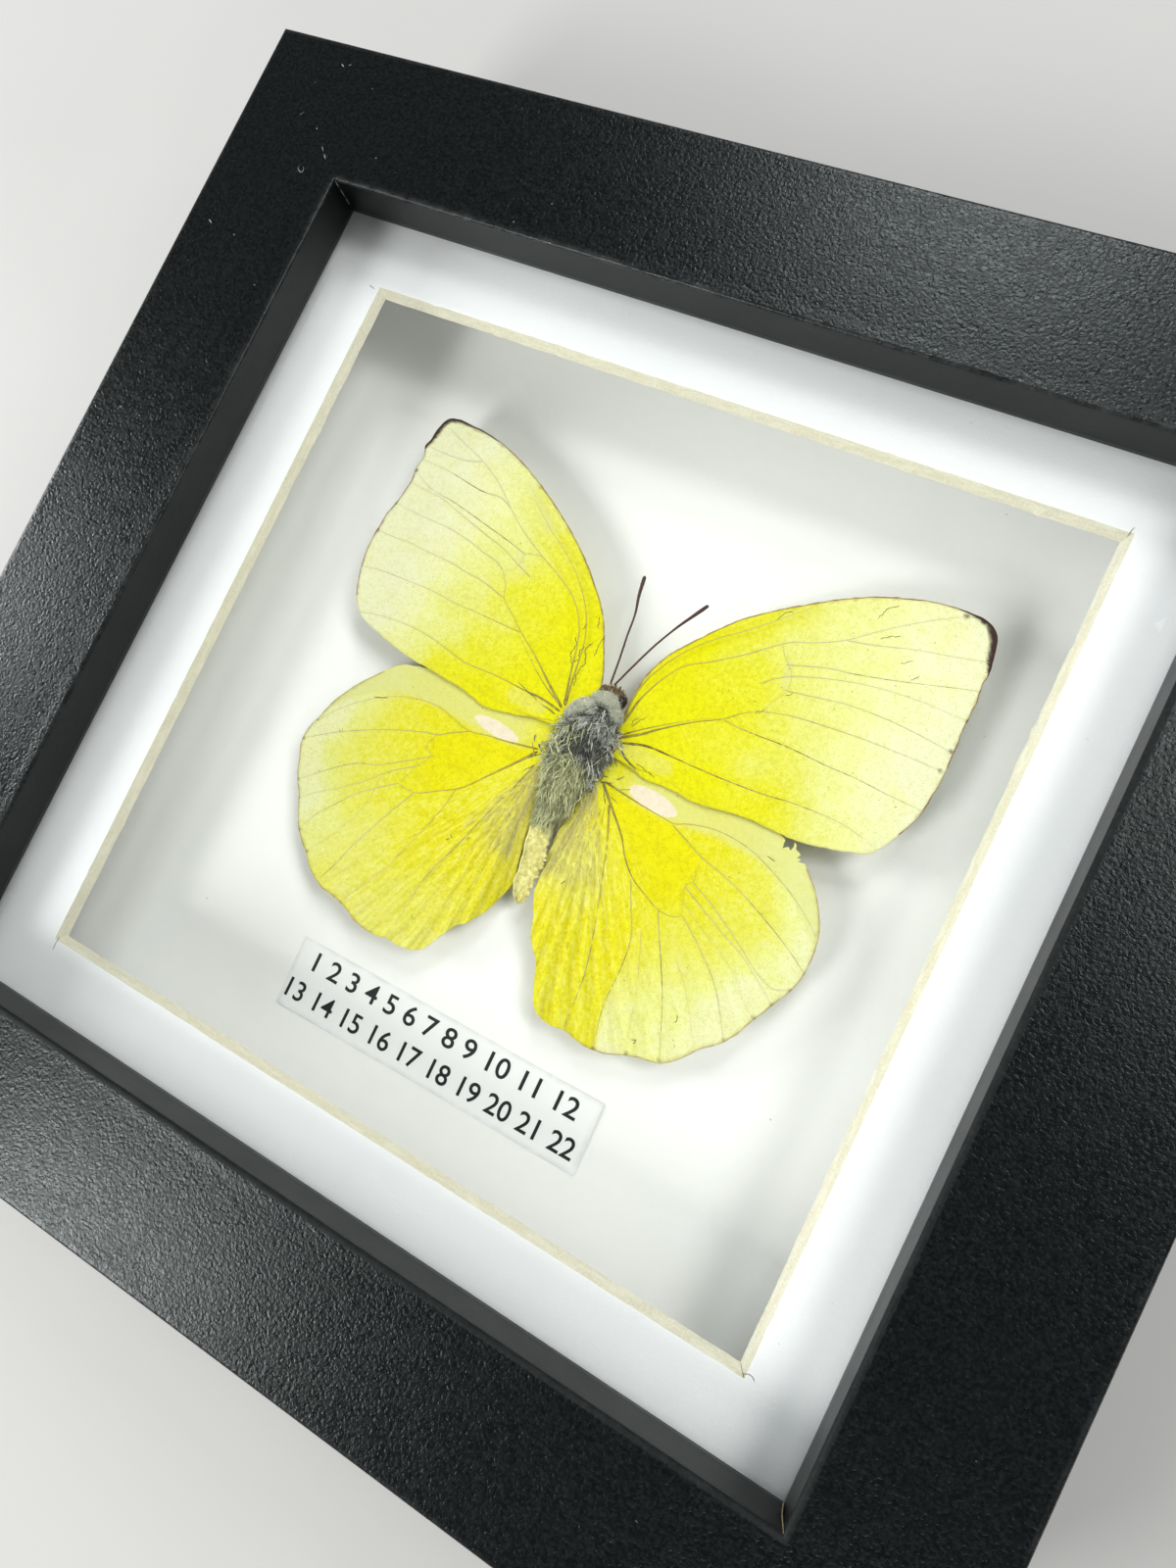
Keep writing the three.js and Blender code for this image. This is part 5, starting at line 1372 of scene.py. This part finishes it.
def build_body():
    J = Join()
    r = np.random.default_rng(77)
    ns, na = 190, 64
    s = np.linspace(0, 1, ns)
    ang = np.linspace(0, 360, na, endpoint=False)
    v = np.vstack([trunk_point(np.full(na, si), ang) for si in s])
    v += r.normal(0, 0.010, v.shape)
    f = []
    for i in range(ns - 1):
        for j in range(na):
            k = (j + 1) % na
            f.append((i * na + j, i * na + k, (i + 1) * na + k, (i + 1) * na + j))
    f.append(tuple(range(na))[::-1])
    f.append(tuple((ns - 1) * na + j for j in range(na)))
    S, A = np.repeat(s, na), np.tile(ang, ns)
    ab = smoothstep(0.58, 0.66, S)
    zone = np.interp(v[:, 1], [-8.6, -6.6, 1.2, 3.6], [1.0, 0.5, 0.5, 0.0])
    # painted highlight along the abdomen's raised rim
    ridge = ab * (np.exp(-((A - 156) / 10) ** 2) + 0.5 * np.exp(-((A - 22) / 8) ** 2))
    # painted shade that follows the wrinkles of the abdomen's back
    groove_shade = ab * np.clip(0.30 * np.clip(np.sin(S * 97 + A * 0.05 + 1.2 * np.sin(A * 0.06)), 0, 1) ** 4 + 0.30 * np.clip(np.sin(A * 0.075 + 3 * np.sin(S * 23) + 2.4), 0, 1) ** 8, 0, 1)
    J.add(v, f, 0, crease=groove_shade, ridge=ridge.clip(0, 1), zone=zone)
    # scraps that stand off its torn right side, lightened by half the painted rim highlight
    for cx, cy, rr in ((4.02, -11.15, 0.24), (4.10, -11.7, 0.17), (3.98, -12.35, 0.26), (4.02, -13.1, 0.15), (3.62, -9.9, 0.16)):
        fv, ff = sphere((0, 0, 0), (1, 1, 1), 14, 10)
        fv *= 1 + 0.28 * np.sin(fv @ r.normal(0, 3, (3, 3)))[:, :1]
        J.add(fv * np.array([rr, rr * 0.8, rr * 0.45]) + np.array([cx, cy, 11.5]), ff, 0, crease=0.0, ridge=0.55, zone=1.0)
    # head, turned a little to its right, with the eyes at its sides
    tilt = math.radians(-14)
    R = [[math.cos(tilt), -math.sin(tilt), 0], [math.sin(tilt), math.cos(tilt), 0], [0, 0, 1]]
    hv, hf = sphere((2.75, 11.50, 12.25), (1.75, 1.15, 1.30), 40, 28, R)
    hv += 0.05 * np.sin(hv * 5.1)[:, [1, 2, 0]]
    J.add(hv, hf, 2, crease=0.0, ridge=0.0, zone=0.0)
    for c, rr in (((4.22, 11.15, 12.40), (0.72, 1.12, 1.05)), ((1.30, 11.70, 12.0), (0.66, 0.95, 0.95))):
        ev, ef = sphere(c, rr, 40, 28, R)
        J.add(ev, ef, 3, crease=0.0, ridge=0.0, zone=0.0)
    # palps under the front of the head
    for x in (2.45, 3.15):
        pv, pf = tube(spline([(x, 12.1, 11.6), (x + 0.05, 12.7, 11.9), (x + 0.12, 13.15, 12.35)], 0.12), np.interp(np.linspace(0, 1, 12), [0, .5, 1], [.22, .20, .07])[:len(spline([(x, 12.1, 11.6), (x + 0.05, 12.7, 11.9), (x + 0.12, 13.15, 12.35)], 0.12))], 10)
        J.add(pv, pf, 2, crease=0.0, ridge=0.0, zone=0.0)
    # sockets of the antennae
    for x, y in ((2.30, 12.45), (2.86, 12.52)):
        pv, pf = sphere((x, y, 13.0), (0.20, 0.20, 0.20), 16, 12)
        J.add(pv, pf, 2, crease=0.0, ridge=0.0, zone=0.0)
    # folded legs drawn up under the thorax
    for sx in (-1, 1):
        for k, y in enumerate((8.2, 5.4, 2.9)):
            x0 = 2.4 + sx * 1.0
            p = spline([(x0, y, 9.3), (x0 + sx * 1.1, y - 0.7, 8.75), (x0 + sx * 0.6, y - 2.1, 8.62), (x0 + sx * 0.2, y - 3.1, 8.9)], 0.15)
            pv, pf = tube(p, np.interp(np.linspace(0, 1, len(p)), [0, .4, 1], [.20, .15, .06]), 8)
            J.add(pv, pf, 2, crease=0.0, ridge=0.0, zone=0.0)
    # hard dark knobs where the wings are jointed to the thorax
    for cx, cy, cz, rr in ((5.90, 7.0, 12.85, (0.40, 0.55, 0.34)), (5.85, 5.3, 12.95, (0.46, 0.66, 0.34)), (5.62, -0.45, 12.2, (0.26, 0.40, 0.22)), (-1.25, 5.2, 12.75, (0.34, 0.50, 0.30)),
                           (-1.15, 1.5, 12.5, (0.42, 0.40, 0.34))):
        fv, ff = sphere((0, 0, 0), (1, 1, 1), 20, 14)
        fv *= 1 + 0.30 * np.sin(fv @ r.normal(0, 3, (3, 3)))[:, :1]
        J.add(fv * np.array(rr) + np.array([cx, cy, cz]), ff, 2, crease=0.3, ridge=0.0, zone=0.0)
    # the dab that holds the specimen to the card
    n_, m_ = 44, 14
    pv, pf = [], []
    for j in range(m_):
        t = j / (m_ - 1)
        z = CARD_TOP + 0.01 + 1.35 * t
        rr = (1.75 - 0.75 * smoothstep(0, 0.55, t) - 0.1 * t)
        for i in range(n_):
            a = 2 * math.pi * i / n_
            wob = 1 + 0.07 * math.sin(3 * a + 1) + 0.04 * math.sin(7 * a)
            pv.append((2.3 + rr * wob * math.cos(a), 4.3 + 1.5 * rr * wob * math.sin(a), z))
    for j in range(m_ - 1):
        for i in range(n_):
            k = (i + 1) % n_
            pf.append((j * n_ + i, j * n_ + k, (j + 1) * n_ + k, (j + 1) * n_ + i))
    pf.append(tuple(range(n_))[::-1])
    pf.append(tuple((m_ - 1) * n_ + i for i in range(n_)))
    J.add(pv, pf, 4, crease=0.0, ridge=0.0, zone=0.0)
    return J.make("body_trunk", mats=(M_TRUNK, M_HEAD, M_HEAD, M_EYE, M_DAB), slot="insect_body", replaces=["butterfly_body"])


build_body()


# ---- hair -------------------------------------------------------------------------------------------------------------
def hair(J, r, root, d, length, rad, curl, tone, segs=6, gravity=0.0):
    """One tapered, bent hair with a triangular section."""
    d = d / np.linalg.norm(d)
    side = np.cross(d, r.normal(0, 1, 3))
    side /= np.linalg.norm(side) + 1e-9
    side2 = np.cross(d, side)
    t = np.linspace(0, 1, segs + 1)
    ph = r.uniform(0, 6.28)
    q = root + np.outer(t * length, d)
    q += np.outer(np.sin(t * (2 + 3 * curl) + ph) - math.sin(ph), side) * 0.16 * curl * length
    q += np.outer(np.cos(t * (1.5 + 2.5 * curl) + ph) - math.cos(ph), side2) * 0.14 * curl * length
    q[:, 2] -= gravity * length * t ** 2
    q[:, 2] = np.maximum(q[:, 2], 8.45)
    rr = rad * np.interp(t, [0, 0.5, 1], [1, 0.8, 0.12])
    v, f = tube(q, rr, 3, up=side)
    J.add(v, f, 0, tone=tone)


def trunk_normal(s, a):
    e = 0.004
    p = trunk_point(np.array([s, min(s + e, 1), s]), np.array([a, a, a + 3.0]))
    n = np.cross(p[1] - p[0], p[2] - p[0])
    q = trunk_at(np.array([s]))[0]
    if n @ (p[0] - q[:3]) < 0:
        n = -n
    return p[0], n / (np.linalg.norm(n) + 1e-12)


def s_of_y(y):
    return float(np.interp(-y, -TRUNK[:, 1], np.linspace(0, 1, len(TRUNK))))


M_HAIR_GREY = hair_material("hair_grey", (0.006, 0.007, 0.005), (0.84, 0.86, 0.78))
M_HAIR_COLLAR = hair_material("hair_collar", (0.17, 0.18, 0.15), (0.76, 0.77, 0.66))
M_HAIR_GREEN = hair_material("hair_green", (0.085, 0.090, 0.034), (0.86, 0.87, 0.52))
M_HAIR_HEAD = hair_material("hair_head", (0.050, 0.025, 0.012), (0.46, 0.33, 0.15))
M_HAIR_BEIGE = hair_material("hair_beige", (0.50, 0.43, 0.10), (0.84, 0.80, 0.38))


def fur():
    r = np.random.default_rng(101)
    back = np.array([-0.10, -1.0, 0.0])

    def crowd(J, n, y0, y1, a0, a1, length, rad, curl, tone, lift, rear, spread, segs=6, gravity=0.0, where=None, outward=0.0):
        for _ in range(n):
            y, a = r.uniform(y0, y1), r.uniform(a0, a1)
            p, nn = trunk_normal(s_of_y(y), a)
            if where is not None and not where(p):
                continue
            d = lift * nn + rear * back + outward * math.copysign(1, p[0] - 2.4) * np.array([1.0, 0, 0]) + r.normal(0, spread, 3)
            if nn @ d < 0.05:
                d = d + nn * (0.12 - nn @ d)
            t = tone(p)
            hair(J, r, p - 0.06 * nn, d, r.uniform(*length), r.uniform(*rad), r.uniform(*curl), float(np.clip(t, 0, 1)), segs=segs, gravity=gravity)

    def locks(J, n, per, y0, y1, a0, a1, length, rad, curl, tone, lift, rear, spread, segs=7, gravity=0.0, where=None, outward=0.0, wide=0.34):
        """Hairs gathered in locks, whose tips draw together, with gaps between them."""
        for _ in range(n):
            y, a = r.uniform(y0, y1), r.uniform(a0, a1)
            p0, nn = trunk_normal(s_of_y(y), a)
            if where is not None and not where(p0):
                continue
            d0 = lift * r.uniform(0.6, 1.5) * nn + rear * back + outward * math.copysign(1, p0[0] - 2.4) * np.array([1.0, 0, 0]) + r.normal(0, spread, 3)
            if nn @ d0 < 0.05:
                d0 = d0 + nn * (0.14 - nn @ d0)
            d0 /= np.linalg.norm(d0)
            long, bend, t0 = r.uniform(*length), r.uniform(*curl), tone(p0)
            tip = p0 + d0 * long
            for _ in range(int(per * r.uniform(0.6, 1.4))):
                root = p0 + r.normal(0, wide, 3) * np.array([1, 1, 0.25])
                d = tip + r.normal(0, 0.16, 3) - root
                hair(J, r, root - 0.05 * nn, d, np.linalg.norm(d) * r.uniform(0.75, 1.1), r.uniform(*rad), bend * r.uniform(0.7, 1.2),
                     float(np.clip(t0 + r.normal(0, 0.12), 0, 1)), segs=segs, gravity=gravity)

    # dark and silver hairs over the thorax, silver at the front and right, mostly dark hairs in the middle
    def silver(p):
        dark_middle = math.exp(-((p[0] - 2.5) / 1.5) ** 2 - ((p[1] - 4.3) / 1.9) ** 2)
        share = 0.33 + 0.34 * float(smoothstep(4.6, 8.2, p[1])) + 0.20 * float(smoothstep(2.0, 4.5, p[0])) - 0.40 * dark_middle
        return r.uniform(0.60, 1.0) if r.random() < share else abs(r.normal(0, 0.04))

    line = lambda p: p[1] < np.interp(p[0], [-1.6, -0.7, 0.2, 1.2, 2.4, 3.8, 4.6, 5.3], [5.9, 6.95, 7.95, 8.85, 9.5, 9.4, 8.95, 8.2])
    J = Join()
    crowd(J, 1500, 1.8, 9.2, -12, 192, (0.9, 2.2), (0.035, 0.055), (0.3, 1.2), lambda p: abs(r.normal(0.03, 0.08)), 0.30, 0.8, 0.40, where=line)
    crowd(J, 300, 2.2, 9.2, -10, 190, (1.0, 2.2), (0.045, 0.075), (0.2, 0.8), silver, 0.30, 0.80, 0.35, outward=0.25, where=line)
    locks(J, 165, 5, 2.4, 9.4, 12, 168, (1.3, 2.6), (0.060, 0.105), (0.15, 0.6), silver, 0.26, 0.85, 0.34, outward=0.22, wide=0.26, where=line)
    # pale tufts where the wings join the body, and a spray of stiff cream hairs on the right
    for cx, cy, cz, k, len_, lo in ((-1.05, 0.85, 12.9, 110, (0.4, 1.0), 0.55), (5.30, 0.45, 12.9, 110, (0.4, 1.0), 0.5), (-1.15, 5.85, 13.2, 90, (0.35, 0.8), 0.7), (5.25, 5.6, 13.4, 60, (0.8, 1.8), 0.75),
                                    (5.6, 6.6, 13.2, 40, (0.6, 1.3), 0.6)):
        for _ in range(k):
            root = np.array([cx, cy, cz]) + r.normal(0, 1, 3) * np.array([0.40, 0.42, 0.10])
            d = np.array([0.12 * (cx - 2.3), -0.25, 0.55]) + r.normal(0, 0.6, 3)
            hair(J, r, root, d, r.uniform(*len_), r.uniform(0.045, 0.07), 0.8, r.uniform(lo, 1.0) if r.random() < 0.82 else 0.08)
    J.make("hair_thorax", mats=(M_HAIR_GREY,), slot="insect_body")

    # smooth collar lobes with a dense short pile
    J = Join()
    lobes = [([(-1.35, 6.55, 12.75), (-0.85, 7.55, 13.2), (0.05, 8.65, 13.55), (1.05, 9.45, 13.65), (1.75, 9.85, 13.55)], (0.42, 0.78, 0.92, 0.86, 0.52)),
             ([(0.95, 10.00, 13.30), (1.65, 10.60, 13.55), (2.65, 10.85, 13.62), (3.65, 10.60, 13.45), (4.25, 10.05, 13.25)], (0.55, 0.82, 0.92, 0.86, 0.50)),
             ([(3.60, 10.15, 13.3), (4.45, 9.55, 13.35), (4.95, 8.90, 13.1), (5.15, 8.30, 12.8)], (0.55, 0.74, 0.64, 0.34))]
    core = Join()
    for pts, rad in lobes:
        q = spline(pts, 0.10)
        t = np.linspace(0, 1, len(q))
        w = np.interp(t, np.linspace(0, 1, len(rad)), rad) * np.sqrt(np.clip(1 - np.abs(2 * t - 1) ** 5, 0.02, 1))
        v, f = tube(q, w, 36, flat=0.60)
        v += 0.03 * np.sin(v * 3.1)[:, [1, 2, 0]]
        core.add(v, f, 0, crease=0.0)
        tan = np.gradient(q, axis=0)
        tan /= np.linalg.norm(tan, axis=1)[:, None]
        for _ in range(1150):
            k = r.integers(1, len(q) - 1)
            th = r.uniform(-0.5, math.pi + 0.5)
            side = np.cross(tan[k], [0, 0, 1.0])
            side /= np.linalg.norm(side)
            up = np.cross(side, tan[k])
            n = math.cos(th) * side + math.sin(th) * up
            p = q[k] + w[k] * (math.cos(th) * side + 0.60 * math.sin(th) * up)
            d = 0.42 * n + 0.5 * back + r.normal(0, 0.25, 3)
            # painted shade: hairs on the lobes' sides that face the thorax, and not upwards, are given a darker tone
            inner = float(smoothstep(-0.3, 0.9, (np.array([2.3, 6.8, 13.0]) - p) @ n))
            hair(J, r, p - 0.03 * n, d, r.uniform(0.25, 0.6), r.uniform(0.030, 0.048), 0.3, float(np.clip(r.normal(0.80, 0.16) - 0.45 * inner * (n[2] < 0.75), 0, 1)), segs=3)
    core.make("collar_lobes", smooth=True, mats=(M_LOBE,), slot="insect_body")
    J.make("hair_collar", mats=(M_HAIR_COLLAR,), slot="insect_body")

    # curly strands on the left and rear of the thorax, then wool combed back over the waist
    J = Join()
    left = lambda p: p[0] < 2.6 or p[1] < 2.4 or r.random() < 0.12
    wool = lambda p: r.uniform(0.62, 1.0) if r.random() < 0.72 else r.uniform(0.0, 0.25)
    core_x = lambda y: trunk_normal(s_of_y(y), 90)[0][0]
    # the wool narrows to a point over the right of the abdomen
    taper = lambda p: p[1] > -2.4 or abs(p[0] - core_x(p[1]) - 0.10 * (-2.4 - p[1])) < np.interp(p[1], [-7.4, -5.6, -4.0, -2.4], [0.15, 0.75, 1.7, 3.0]) * r.uniform(0.75, 1.2)
    clear = lambda p: left(p) and math.exp(-((p[0] - 2.6) / 1.5) ** 2 - ((p[1] - 4.2) / 1.7) ** 2) < 0.45
    crowd(J, 170, -0.5, 7.2, 60, 200, (1.2, 2.6), (0.050, 0.075), (0.8, 1.6), wool, 0.30, 0.8, 0.45, segs=9, gravity=0.12, where=clear)
    locks(J, 46, 5, -0.3, 6.6, 90, 195, (1.6, 3.0), (0.060, 0.095), (0.8, 1.5), wool, 0.26, 0.85, 0.40, segs=9, gravity=0.12, where=clear, wide=0.28)
    crowd(J, 1000, -6.2, 2.6, -8, 188, (1.3, 2.9), (0.040, 0.065), (0.2, 0.8), lambda p: abs(r.normal(0.50, 0.28)), 0.10, 1.0, 0.18, segs=7, gravity=0.06, where=taper)
    locks(J, 190, 6, -6.2, 2.8, -4, 184, (1.6, 3.4), (0.050, 0.090), (0.3, 1.0), wool, 0.13, 1.0, 0.24, segs=8, gravity=0.07, wide=0.26, where=taper)
    crowd(J, 240, -7.6, -3.6, 20, 160, (0.7, 2.0), (0.024, 0.040), (0.2, 0.8), lambda p: r.normal(0.85, 0.15), 0.06, 1.0, 0.16, segs=6, gravity=0.05, where=lambda p: r.random() < 0.45 or taper(p))
    # the longest curls
    for pts, rad in (([(-1.2, 4.6, 13.6), (-0.9, 3.3, 14.0), (0.0, 2.2, 14.3), (1.2, 1.5, 14.3), (2.2, 0.8, 14.1), (3.1, 0.3, 13.8), (3.6, -0.6, 13.3)], 0.085),
                     ([(2.6, 1.6, 14.2), (3.3, 0.7, 13.9), (3.2, -0.2, 13.6), (2.6, -0.9, 13.4)], 0.075),
                     ([(3.0, -0.1, 13.4), (3.9, 1.2, 13.6), (4.9, 2.6, 13.7), (5.7, 4.0, 13.6)], 0.065), ([(-0.2, 5.2, 14.2), (0.1, 4.0, 14.4), (-0.3, 3.0, 14.2), (-0.9, 2.0, 13.8)], 0.08),
                     ([(0.9, 3.8, 14.5), (1.4, 2.7, 14.5), (2.6, 2.2, 14.3), (3.7, 2.6, 14.0)], 0.075), ([(-1.6, 3.6, 13.4), (-1.4, 2.4, 13.6), (-0.6, 1.6, 13.9), (0.4, 1.5, 14.0)], 0.08),
                     ([(0.3, 1.2, 13.8), (-0.5, 0.0, 13.4), (-0.9, -1.4, 13.0), (-0.6, -2.6, 12.8)], 0.085), ([(1.4, 0.2, 13.8), (0.6, -1.2, 13.4), (0.5, -2.8, 13.1), (1.0, -4.0, 12.9)], 0.08),
                     ([(3.9, 0.4, 13.4), (4.2, -0.9, 13.1), (3.7, -2.2, 12.9), (4.2, -3.2, 12.5)], 0.075), ([(2.6, -1.0, 13.5), (2.2, -2.4, 13.2), (2.7, -3.6, 13.0), (2.3, -4.8, 12.8)], 0.08),
                     ([(-1.3, 5.9, 13.4), (-1.9, 5.0, 13.1), (-1.8, 4.0, 12.9)], 0.06), ([(4.6, -0.8, 13.0), (4.9, -2.0, 12.6), (4.5, -3.4, 12.3)], 0.07)):
        q = spline(pts, 0.16)
        t = np.linspace(0, 1, len(q))
        q[:, 0] += 0.06 * np.sin(t * 17 + pts[0][0])
        v, f = tube(q, rad * np.interp(t, [0, 0.1, 0.7, 1], [0.6, 1, 0.85, 0.15]), 5)
        J.add(v, f, 0, tone=np.repeat(np.interp(t, [0, 0.3, 1], [0.75, 0.95, 1.0]), 5))
    J.make("hair_wool", mats=(M_HAIR_GREEN,), slot="insect_body")

    # brown hair on the head
    J = Join()
    for _ in range(760):
        q = r.normal(0, 1, 3)
        q /= np.linalg.norm(q)
        if q[2] < -0.3 or (q[0] > 0.55 and q[1] < 0.5):
            continue
        p = np.array([2.75, 11.50, 12.25]) + q * np.array([1.72, 1.12, 1.27])
        d = q + np.array([0, 0.25, 0.1]) + r.normal(0, 0.3, 3)
        hair(J, r, p, d, r.uniform(0.25, 0.65), r.uniform(0.035, 0.055), 0.6, float(np.clip(r.normal(0.50, 0.28), 0, 1)), segs=4)
    J.make("hair_head", mats=(M_HAIR_HEAD,), slot="insect_body")

    # long pale hairs lying on the hindwings beside the body
    J = Join()
    for w, side in (('LH', -1), ('RH', 1)):
        b = BASE[w]
        for _ in range(620):
            ang = math.radians(-4 + 32 * r.random() ** 2.3)
            d0 = r.uniform(0.6, 13.0)
            p2 = b + np.array([side * math.sin(ang), -math.cos(ang)]) * d0
            if w == 'RH':
                p2[0] -= 0.4
            if not inside(p2[None], OUTLINE[w])[0]:
                continue
            z = float(wing_height(w, p2[None])[0]) + 0.05
            x, y = along_ray(p2[0], p2[1], PLANE[w], z)
            d = np.array([side * math.sin(ang), -math.cos(ang), 0.05]) + r.normal(0, 0.09, 3) * np.array([1, 1, 0.5])
            hair(J, r, np.array([x, y, z]), d, r.uniform(0.9, 2.6), r.uniform(0.022, 0.036), r.uniform(0.1, 0.6), float(np.clip(r.normal(0.60, 0.25), 0, 1)), segs=5)
    J.make("hair_hindwing", mats=(M_HAIR_BEIGE,), slot="hindwing")

    # short black spines and splits at the wing roots
    J = Join()
    for w, pts, rad in (('LH', [(-4.3, 2.85), (-4.2, 2.35), (-3.95, 2.0)], 0.07), ('LH', [(-3.15, 2.5), (-2.9, 2.1)], 0.06), ('LH', [(-3.35, 1.95), (-2.8, 1.5), (-2.2, 1.1)], 0.085),
                        ('LH', [(-3.8, -0.3), (-3.0, 0.5), (-2.2, 1.05)], 0.06), ('RF', [(7.2, 5.55), (7.9, 4.95), (8.9, 4.5), (9.85, 4.12)], 0.11), ('RH', [(8.1, 2.1), (8.45, 2.4), (8.75, 2.85)], 0.07),
                        ('RH', [(6.2, 1.75), (6.95, 1.85)], 0.06), ('RH', [(6.3, 0.95), (7.1, 1.1), (7.85, 1.5)], 0.06), ('RH', [(6.7, 0.9), (7.4, 0.2), (8.0, -0.5), (8.75, -1.25)], 0.055),
                        ('RH', [(6.0, 2.3), (6.3, 1.7), (6.2, 1.1)], 0.08), ('LF', [(-2.9, 6.25), (-3.6, 6.5), (-5.1, 6.75)], 0.06)):
        q = resample(np.array(pts, float), 0.2)
        z = wing_height(w, q) + 0.10
        x, y = along_ray(q[:, 0], q[:, 1], PLANE[w], z)
        t = np.linspace(0, 1, len(q))
        v, f = tube(np.c_[x, y, z], rad * np.interp(t, [0, 0.2, 0.6, 1], [0.7, 1, 0.7, 0.25]) * r.uniform(0.85, 1.15, len(q)), 6)
        J.add(v, f, 0, tone=0.0)
    J.make("wing_root_spines", mats=(M_HAIR_GREY,), slot="insect_body")


seams()
scuffs()
M_LOBE = body_material("collar_skin", (0.34, 0.345, 0.26), (0.58, 0.575, 0.44), 0.4)
fur()


# ---- antennae ---------------------------------------------------------------------------------------------------------
def antenna(name, node, pts, seed):
    r = np.random.default_rng(seed)
    q = spline(pts, 0.11)
    t = np.linspace(0, 1, len(q))
    z = np.interp(t, [0, .3, 1], [12.95, 13.35, 14.0])
    x, y = along_ray(q[:, 0], q[:, 1], 13.7, z)
    rad = np.interp(t, [0, .02, .62, .82, .93, .985, 1], [.11, .135, .13, .20, .25, .24, .13])
    rad *= 1 + 0.09 * np.cos(np.arange(len(q)) * math.pi) + 0.02 * r.normal(0, 1, len(q))
    v, f = tube(np.c_[x, y, z], rad, 14)
    J = Join()
    J.add(v, f, 0, crease=np.repeat(np.where(np.arange(len(q)) % 2, 0.75, 0.0) + 0.5 * smoothstep(0.94, 1.0, t), 14).clip(0, 1))
    return J.make(name, mats=(M_ANTENNA,), slot="antenna", replaces=[node])


antenna("antenna_l", "antenna_left", [(2.21, 12.69), (1.84, 16.03), (1.40, 19.23), (1.08, 22.20), (0.46, 24.63), (0.02, 27.29)], 3)
antenna("antenna_r", "antenna_right", [(2.73, 12.78), (3.91, 16.08), (5.20, 19.43), (6.71, 22.58), (7.98, 24.78), (9.18, 26.81)], 4)

# ---- finishes on the nodes kept from the frame --------------------------------------------------------------------------
for node, mat in {"glass_pane": M_GLASS, "backing_card": M_CARD, "back_board": M_BOARD, "spacer_top": M_MAT, "spacer_bottom": M_MAT,
                  "spacer_left": M_MAT, "spacer_right": M_MAT, "sawtooth_hanger": M_STEEL, "hanger_rivet_left": M_STEEL, "hanger_rivet_right": M_STEEL,
                  **{"point_" + p: M_STEEL for p in ("top_left", "top_right", "bottom_left", "bottom_right", "left_upper", "left_lower", "right_upper", "right_lower")}}.items():
    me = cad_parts[node].data
    me.materials.clear()
    me.materials.append(mat)

# ---- table, light -----------------------------------------------------------------------------------------------------
def floor():
    n, half = 24, 1500.0
    t = np.linspace(-1, 1, n + 1)
    t = np.sign(t) * np.abs(t) ** 1.6 * half
    v = [(x, y, -0.02) for y in t for x in t]
    f = [(j * (n + 1) + i, j * (n + 1) + i + 1, (j + 1) * (n + 1) + i + 1, (j + 1) * (n + 1) + i) for j in range(n) for i in range(n)]
    ob = make("table_top", v, f, smooth=False, mats=(floor_mat(),), body=None)


floor()


def area_light(name, direction, dist, size, power, colour=(1, 1, 1), target=(0, 0, 12)):
    d = Vector(direction).normalized()
    ld = bpy.data.lights.new(name, 'AREA')
    ld.shape = 'RECTANGLE'
    ld.size, ld.size_y = size
    ld.energy = power
    ld.color = colour
    ob = bpy.data.objects.new(name, ld)
    ob.location = Vector(target) * MM + d * dist
    ob.rotation_mode = 'QUATERNION'
    ob.rotation_quaternion = d.to_track_quat('Z', 'Y')
    scene.collection.objects.link(ob)
    return ob


for name, at, power, colour in (("soft_west", (-560, -60, 262), 3.3, (0.99, 0.995, 1.0)), ("soft_south", (-258, -393, 416), 1.7, (1.0, 0.99, 0.975)),
                                ("soft_south_west", (-274, -435, 359), 1.65, (1.0, 0.995, 0.985)), ("soft_north", (-20, 455, 412), 1.8, (0.99, 0.995, 1.0)),
                                ("soft_north_east", (293, 250, 497), 1.6, (1.0, 0.99, 0.975)), ("soft_east", (431, 114, 443), 0.6, (1.0, 0.99, 0.975)),
                                ("soft_south_east", (300, -450, 264), 0.8, (1.0, 0.995, 0.985))):
    area_light(name, (at[0], at[1], at[2] - 12), 0.62, (0.19, 0.19), power, colour)
world = bpy.data.worlds.new("world")
scene.world = world
world.use_nodes = True
world.node_tree.nodes["Background"].inputs[0].default_value = (0.95, 0.97, 1.0, 1)
world.node_tree.nodes["Background"].inputs[1].default_value = 0.20
scene.view_settings.view_transform = 'Standard'
scene.view_settings.look = 'None'
